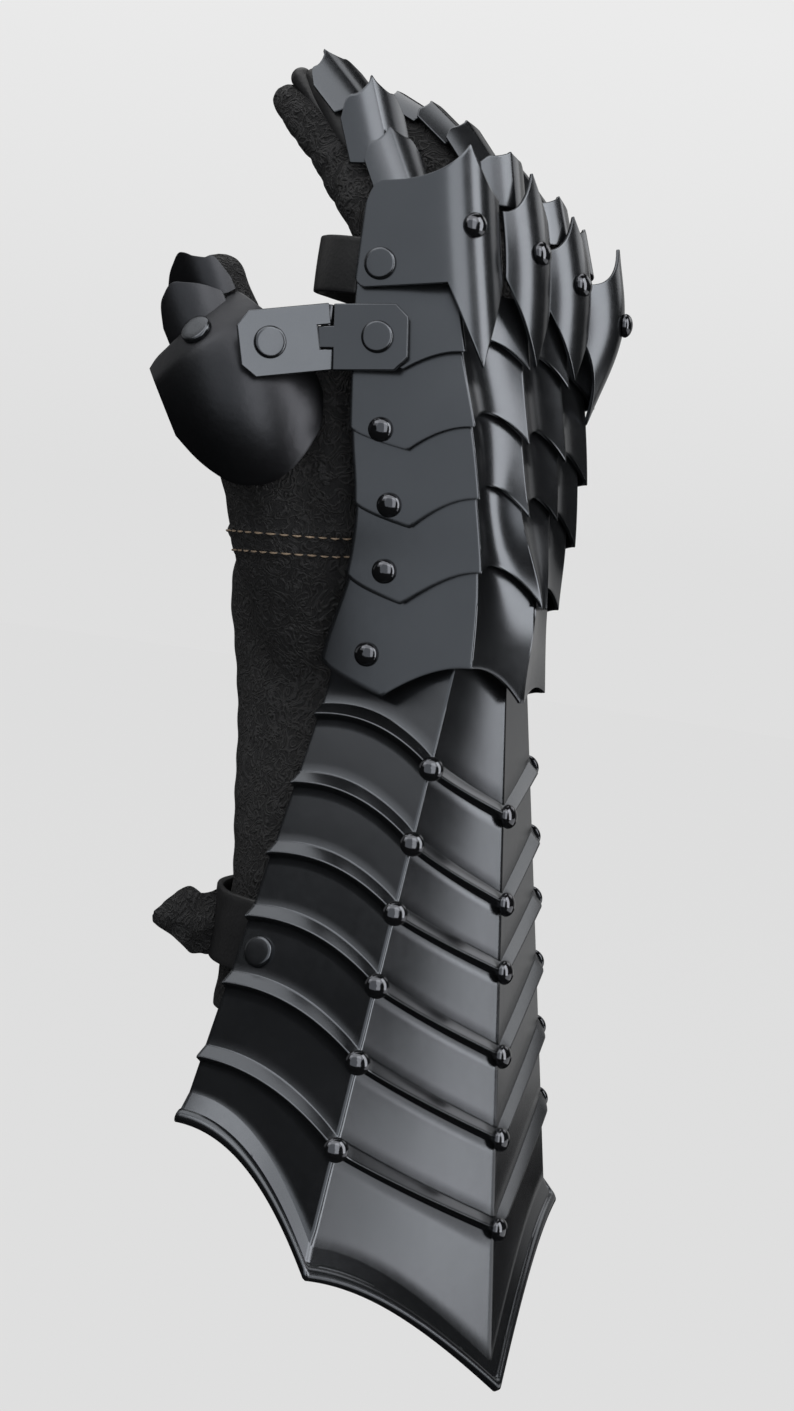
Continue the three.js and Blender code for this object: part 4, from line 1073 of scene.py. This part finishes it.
glove = build_glove()
backing = object_from("index_leather_backing", *joined([capped(digit_rings(rows)) for rows in BACKING]), 0)
finish_piece(backing, LEATHER)
finish_piece(glove, SUEDE_BLACK, ["glove"])


def glove_tree():
    """A search tree of the glove's outer skin, in millimetres."""
    mesh = glove.data
    verts = [v.co / MM for v in mesh.vertices]
    polygons = [tuple(p.vertices) for p in mesh.polygons]
    return BVHTree.FromPolygons(verts, polygons)


SKIN = glove_tree()


def stitches():
    """Two rows of stitches round the sleeve's folded top, in its grooves: rays find the skin every
    half degree, and a stitch starts after each gap and ends after each stitch's length."""
    shapes = []
    for drop in STITCH_DROPS:
        spots = []
        for degree in np.arange(-20.0, 200.0, 0.5):
            a = math.radians(degree)
            way = Vector((math.cos(a), math.sin(a), 0))
            start = Vector((0, 22, 0)) + way * 90
            start.z = fold_line(way.x * 38, 22 + way.y * 38) - drop
            hit, normal, _, _ = SKIN.ray_cast(start, -way)
            if hit is not None:
                spots.append((np.array(hit), np.array(normal)))
        run = 0.0
        last = spots[0][0]
        begin = None
        for point, normal in spots[1:]:
            run += float(np.linalg.norm(point - last))
            last = point
            if begin is None and run > STITCH_GAP:
                begin, run = (point, normal), 0.0
            elif begin is not None and run > STITCH_LENGTH:
                shapes.append(stitch(begin[0], point, (begin[1] + normal) / 2))
                begin, run = None, 0.0
    return shapes


def stitch(start, end, normal):
    """A spindle from start to end, its radius STITCH_R times the root of sin(pi*s), half sunk in the
    leather and lifted by STITCH_RISE times sin(pi*s)."""
    way = unit(end - start)
    side = unit(np.cross(way, normal))
    up = np.cross(side, way)
    s = np.linspace(0, 1, 9)
    radius = STITCH_R * np.sqrt(np.sin(np.pi * np.clip(s, 0.02, 0.98)))
    rise = STITCH_RISE * np.sin(np.pi * s)
    centres = start + (end - start) * s[:, None] + unit(normal) * rise[:, None]
    angle = np.linspace(0, 2 * np.pi, 8, endpoint=False)
    ring = np.cos(angle)[None, :, None] * side + np.sin(angle)[None, :, None] * up
    return (centres[:, None] + radius[:, None, None] * ring).reshape(-1, 3), grid_faces(9, 8, close=True)


finish_piece(object_from("glove_stitches", *joined(stitches()), 0), THREAD)


# ---- Straps ----
def strap_band(name, heights, half_path, replaced):
    """A flat band along a smooth path round the palm side, the path mirrored, its outer face the
    path moved out by STRAP, wavering by a few tenths."""
    half_path = np.asarray(half_path, float)
    path = np.concatenate([half_path, (half_path * (-1, 1))[-2::-1]])
    steps = np.concatenate([[0], np.cumsum(np.linalg.norm(np.diff(path, axis=0), axis=1))])
    s = np.linspace(0, steps[-1], 120)
    xy = smooth_lookup(np.column_stack([steps, path]), s)
    along = unit(np.gradient(xy, axis=0))
    out = np.column_stack([-along[:, 1], along[:, 0]])
    v = np.linspace(0, 1, 12)
    wave = 0.25 * np.sin(0.12 * s)[:, None] * np.sin(np.pi * v)
    x = (xy[:, 0] + out[:, 0] * STRAP)[:, None] + out[:, :1] * wave
    y = (xy[:, 1] + out[:, 1] * STRAP)[:, None] + out[:, 1:] * wave
    z = heights[0] + (heights[1] - heights[0]) * v + 0.3 * np.sin(0.07 * s)[:, None]
    piece = sheet(name, np.stack([x, y, z], -1), STRAP, 0.5, 60)
    return finish_piece(piece, LEATHER, [replaced])


strap_band("strap_wrist_band", *WRIST_STRAP, "strap_wrist")
strap_band("strap_palm_band", *PALM_STRAP, "strap_palm")


def strap_end():
    """The free end, a scrap of folded suede: its upper and lower edges from their table, folded along
    its length by 0.45 of the height above the fold, and rumpled by two crossing waves."""
    t_values = np.linspace(0, 1, 40)
    v_values = np.linspace(-1, 1, 28)
    t, v = (a.ravel() for a in np.meshgrid(t_values, v_values, indexing="ij"))
    low, high = smooth_lookup(TAIL_EDGE, t).T
    height = np.where(v > 0, v * high, v * low)
    root, tip = np.array(TAIL[0]), np.array(TAIL[1])
    rumple = 0.5 * np.sin(9 * t + 0.5 * height) + 0.3 * np.sin(17 * t - 0.9 * height)
    lift = 1.1 * np.sin(3 * t) - 0.45 * np.abs(height + 1.5 - 3 * t) + rumple
    xy = root + (tip - root) * t[:, None] + np.array((-0.84, -0.54)) * (lift + 1.5)[:, None]
    z = sum(WRIST_STRAP[0]) / 2 - 2 * t + height
    grid = np.column_stack([xy, z]).reshape(len(t_values), len(v_values), 3)
    piece = sheet("strap_tail_end", grid, TAIL_SHEET, 0.45, 60)
    return finish_piece(piece, SUEDE_BLACK, ["strap_tail"])


strap_end()

# ---- Studio ----
FLOOR_Z = -360.0
FLOOR_R = 6000.0
LIGHT_AWAY = 2.0


def studio_floor():
    """A flat round floor. It isn't seen in the steel, which mirrors darkness below as it does in a
    black-lined studio."""
    ring = np.linspace(0, 2 * np.pi, 96, endpoint=False)
    points = np.column_stack([FLOOR_R * np.cos(ring), FLOOR_R * np.sin(ring), np.full_like(ring, FLOOR_Z)])
    piece = object_from("studio_floor", points, [list(range(len(ring)))], 0)
    piece.data.materials.append(studio_paper("studio_paper_white", "#dedede"))
    piece.visible_glossy = False
    return piece


studio_floor()


def softbox(name, azimuth, elevation, half_angles, radiance, tint=(1, 1, 1)):
    """A rectangular light that faces the object from LIGHT_AWAY metres: half_angles are what it
    covers to each side and up and down, and radiance is how bright it looks."""
    turn, tip = math.radians(azimuth), math.radians(elevation)
    way = Vector((math.cos(turn) * math.cos(tip), math.sin(turn) * math.cos(tip), math.sin(tip)))
    data = bpy.data.lights.new(name, "AREA")
    data.shape = "RECTANGLE"
    data.color = tint
    data.size, data.size_y = (2 * LIGHT_AWAY * math.tan(math.radians(angle)) for angle in half_angles)
    data.energy = radiance * math.pi * data.size * data.size_y
    lamp = bpy.data.objects.new(name, data)
    bpy.context.collection.objects.link(lamp)
    lamp.location = way * LIGHT_AWAY
    lamp.rotation_euler = way.to_track_quat("Z", "Y").to_euler()
    lamp.visible_camera = False


# Azimuth (0 is +X, 90 the palm), elevation, half angles and radiance of each light.
LIGHTS = {
    "front_high": (203, 58, (47, 15), 2.7),
    "top_light": (75, 68, (30, 22), 2.1),
    "key_back_of_hand": (-79, 24, (12, 34), 5.6),
    "crease_strip": (-129, 22, (13, 32), 2.3),
    "low_back_of_hand": (-55, -18, (28, 13), 1.4),
    "rib_light": (-20, 34, (12, 12), 1.5),
    "fill_outer_side": (0, 14, (20, 26), 0.4),
    "rear_fill": (100, 20, (20, 20), 0.5),
    "fill_palm": (154, 34, (14, 14), 1.1),
}
softbox("wall_thumb_side", 207, 15, (39, 29), 1.15, (0.93, 0.965, 1.0))
for light_name, settings in LIGHTS.items():
    softbox(light_name, *settings)

world = bpy.data.worlds.new("studio")
bpy.context.scene.world = world
world.use_nodes = True
background = world.node_tree.nodes["Background"]
seen = node(world.node_tree, "ShaderNodeLightPath").outputs["Is Camera Ray"]
height = node(world.node_tree, "ShaderNodeSeparateXYZ",
              links=[(0, node(world.node_tree, "ShaderNodeTexCoord").outputs["Generated"])]).outputs["Z"]
sky = ramp(world.node_tree, height, [(0.0, "#dfdfdf"), (0.2, "#ebebeb")])
world.node_tree.links.new(mixed(world.node_tree, seen, "#161616", sky), background.inputs["Color"])
bpy.context.scene.view_settings.view_transform = "Standard"
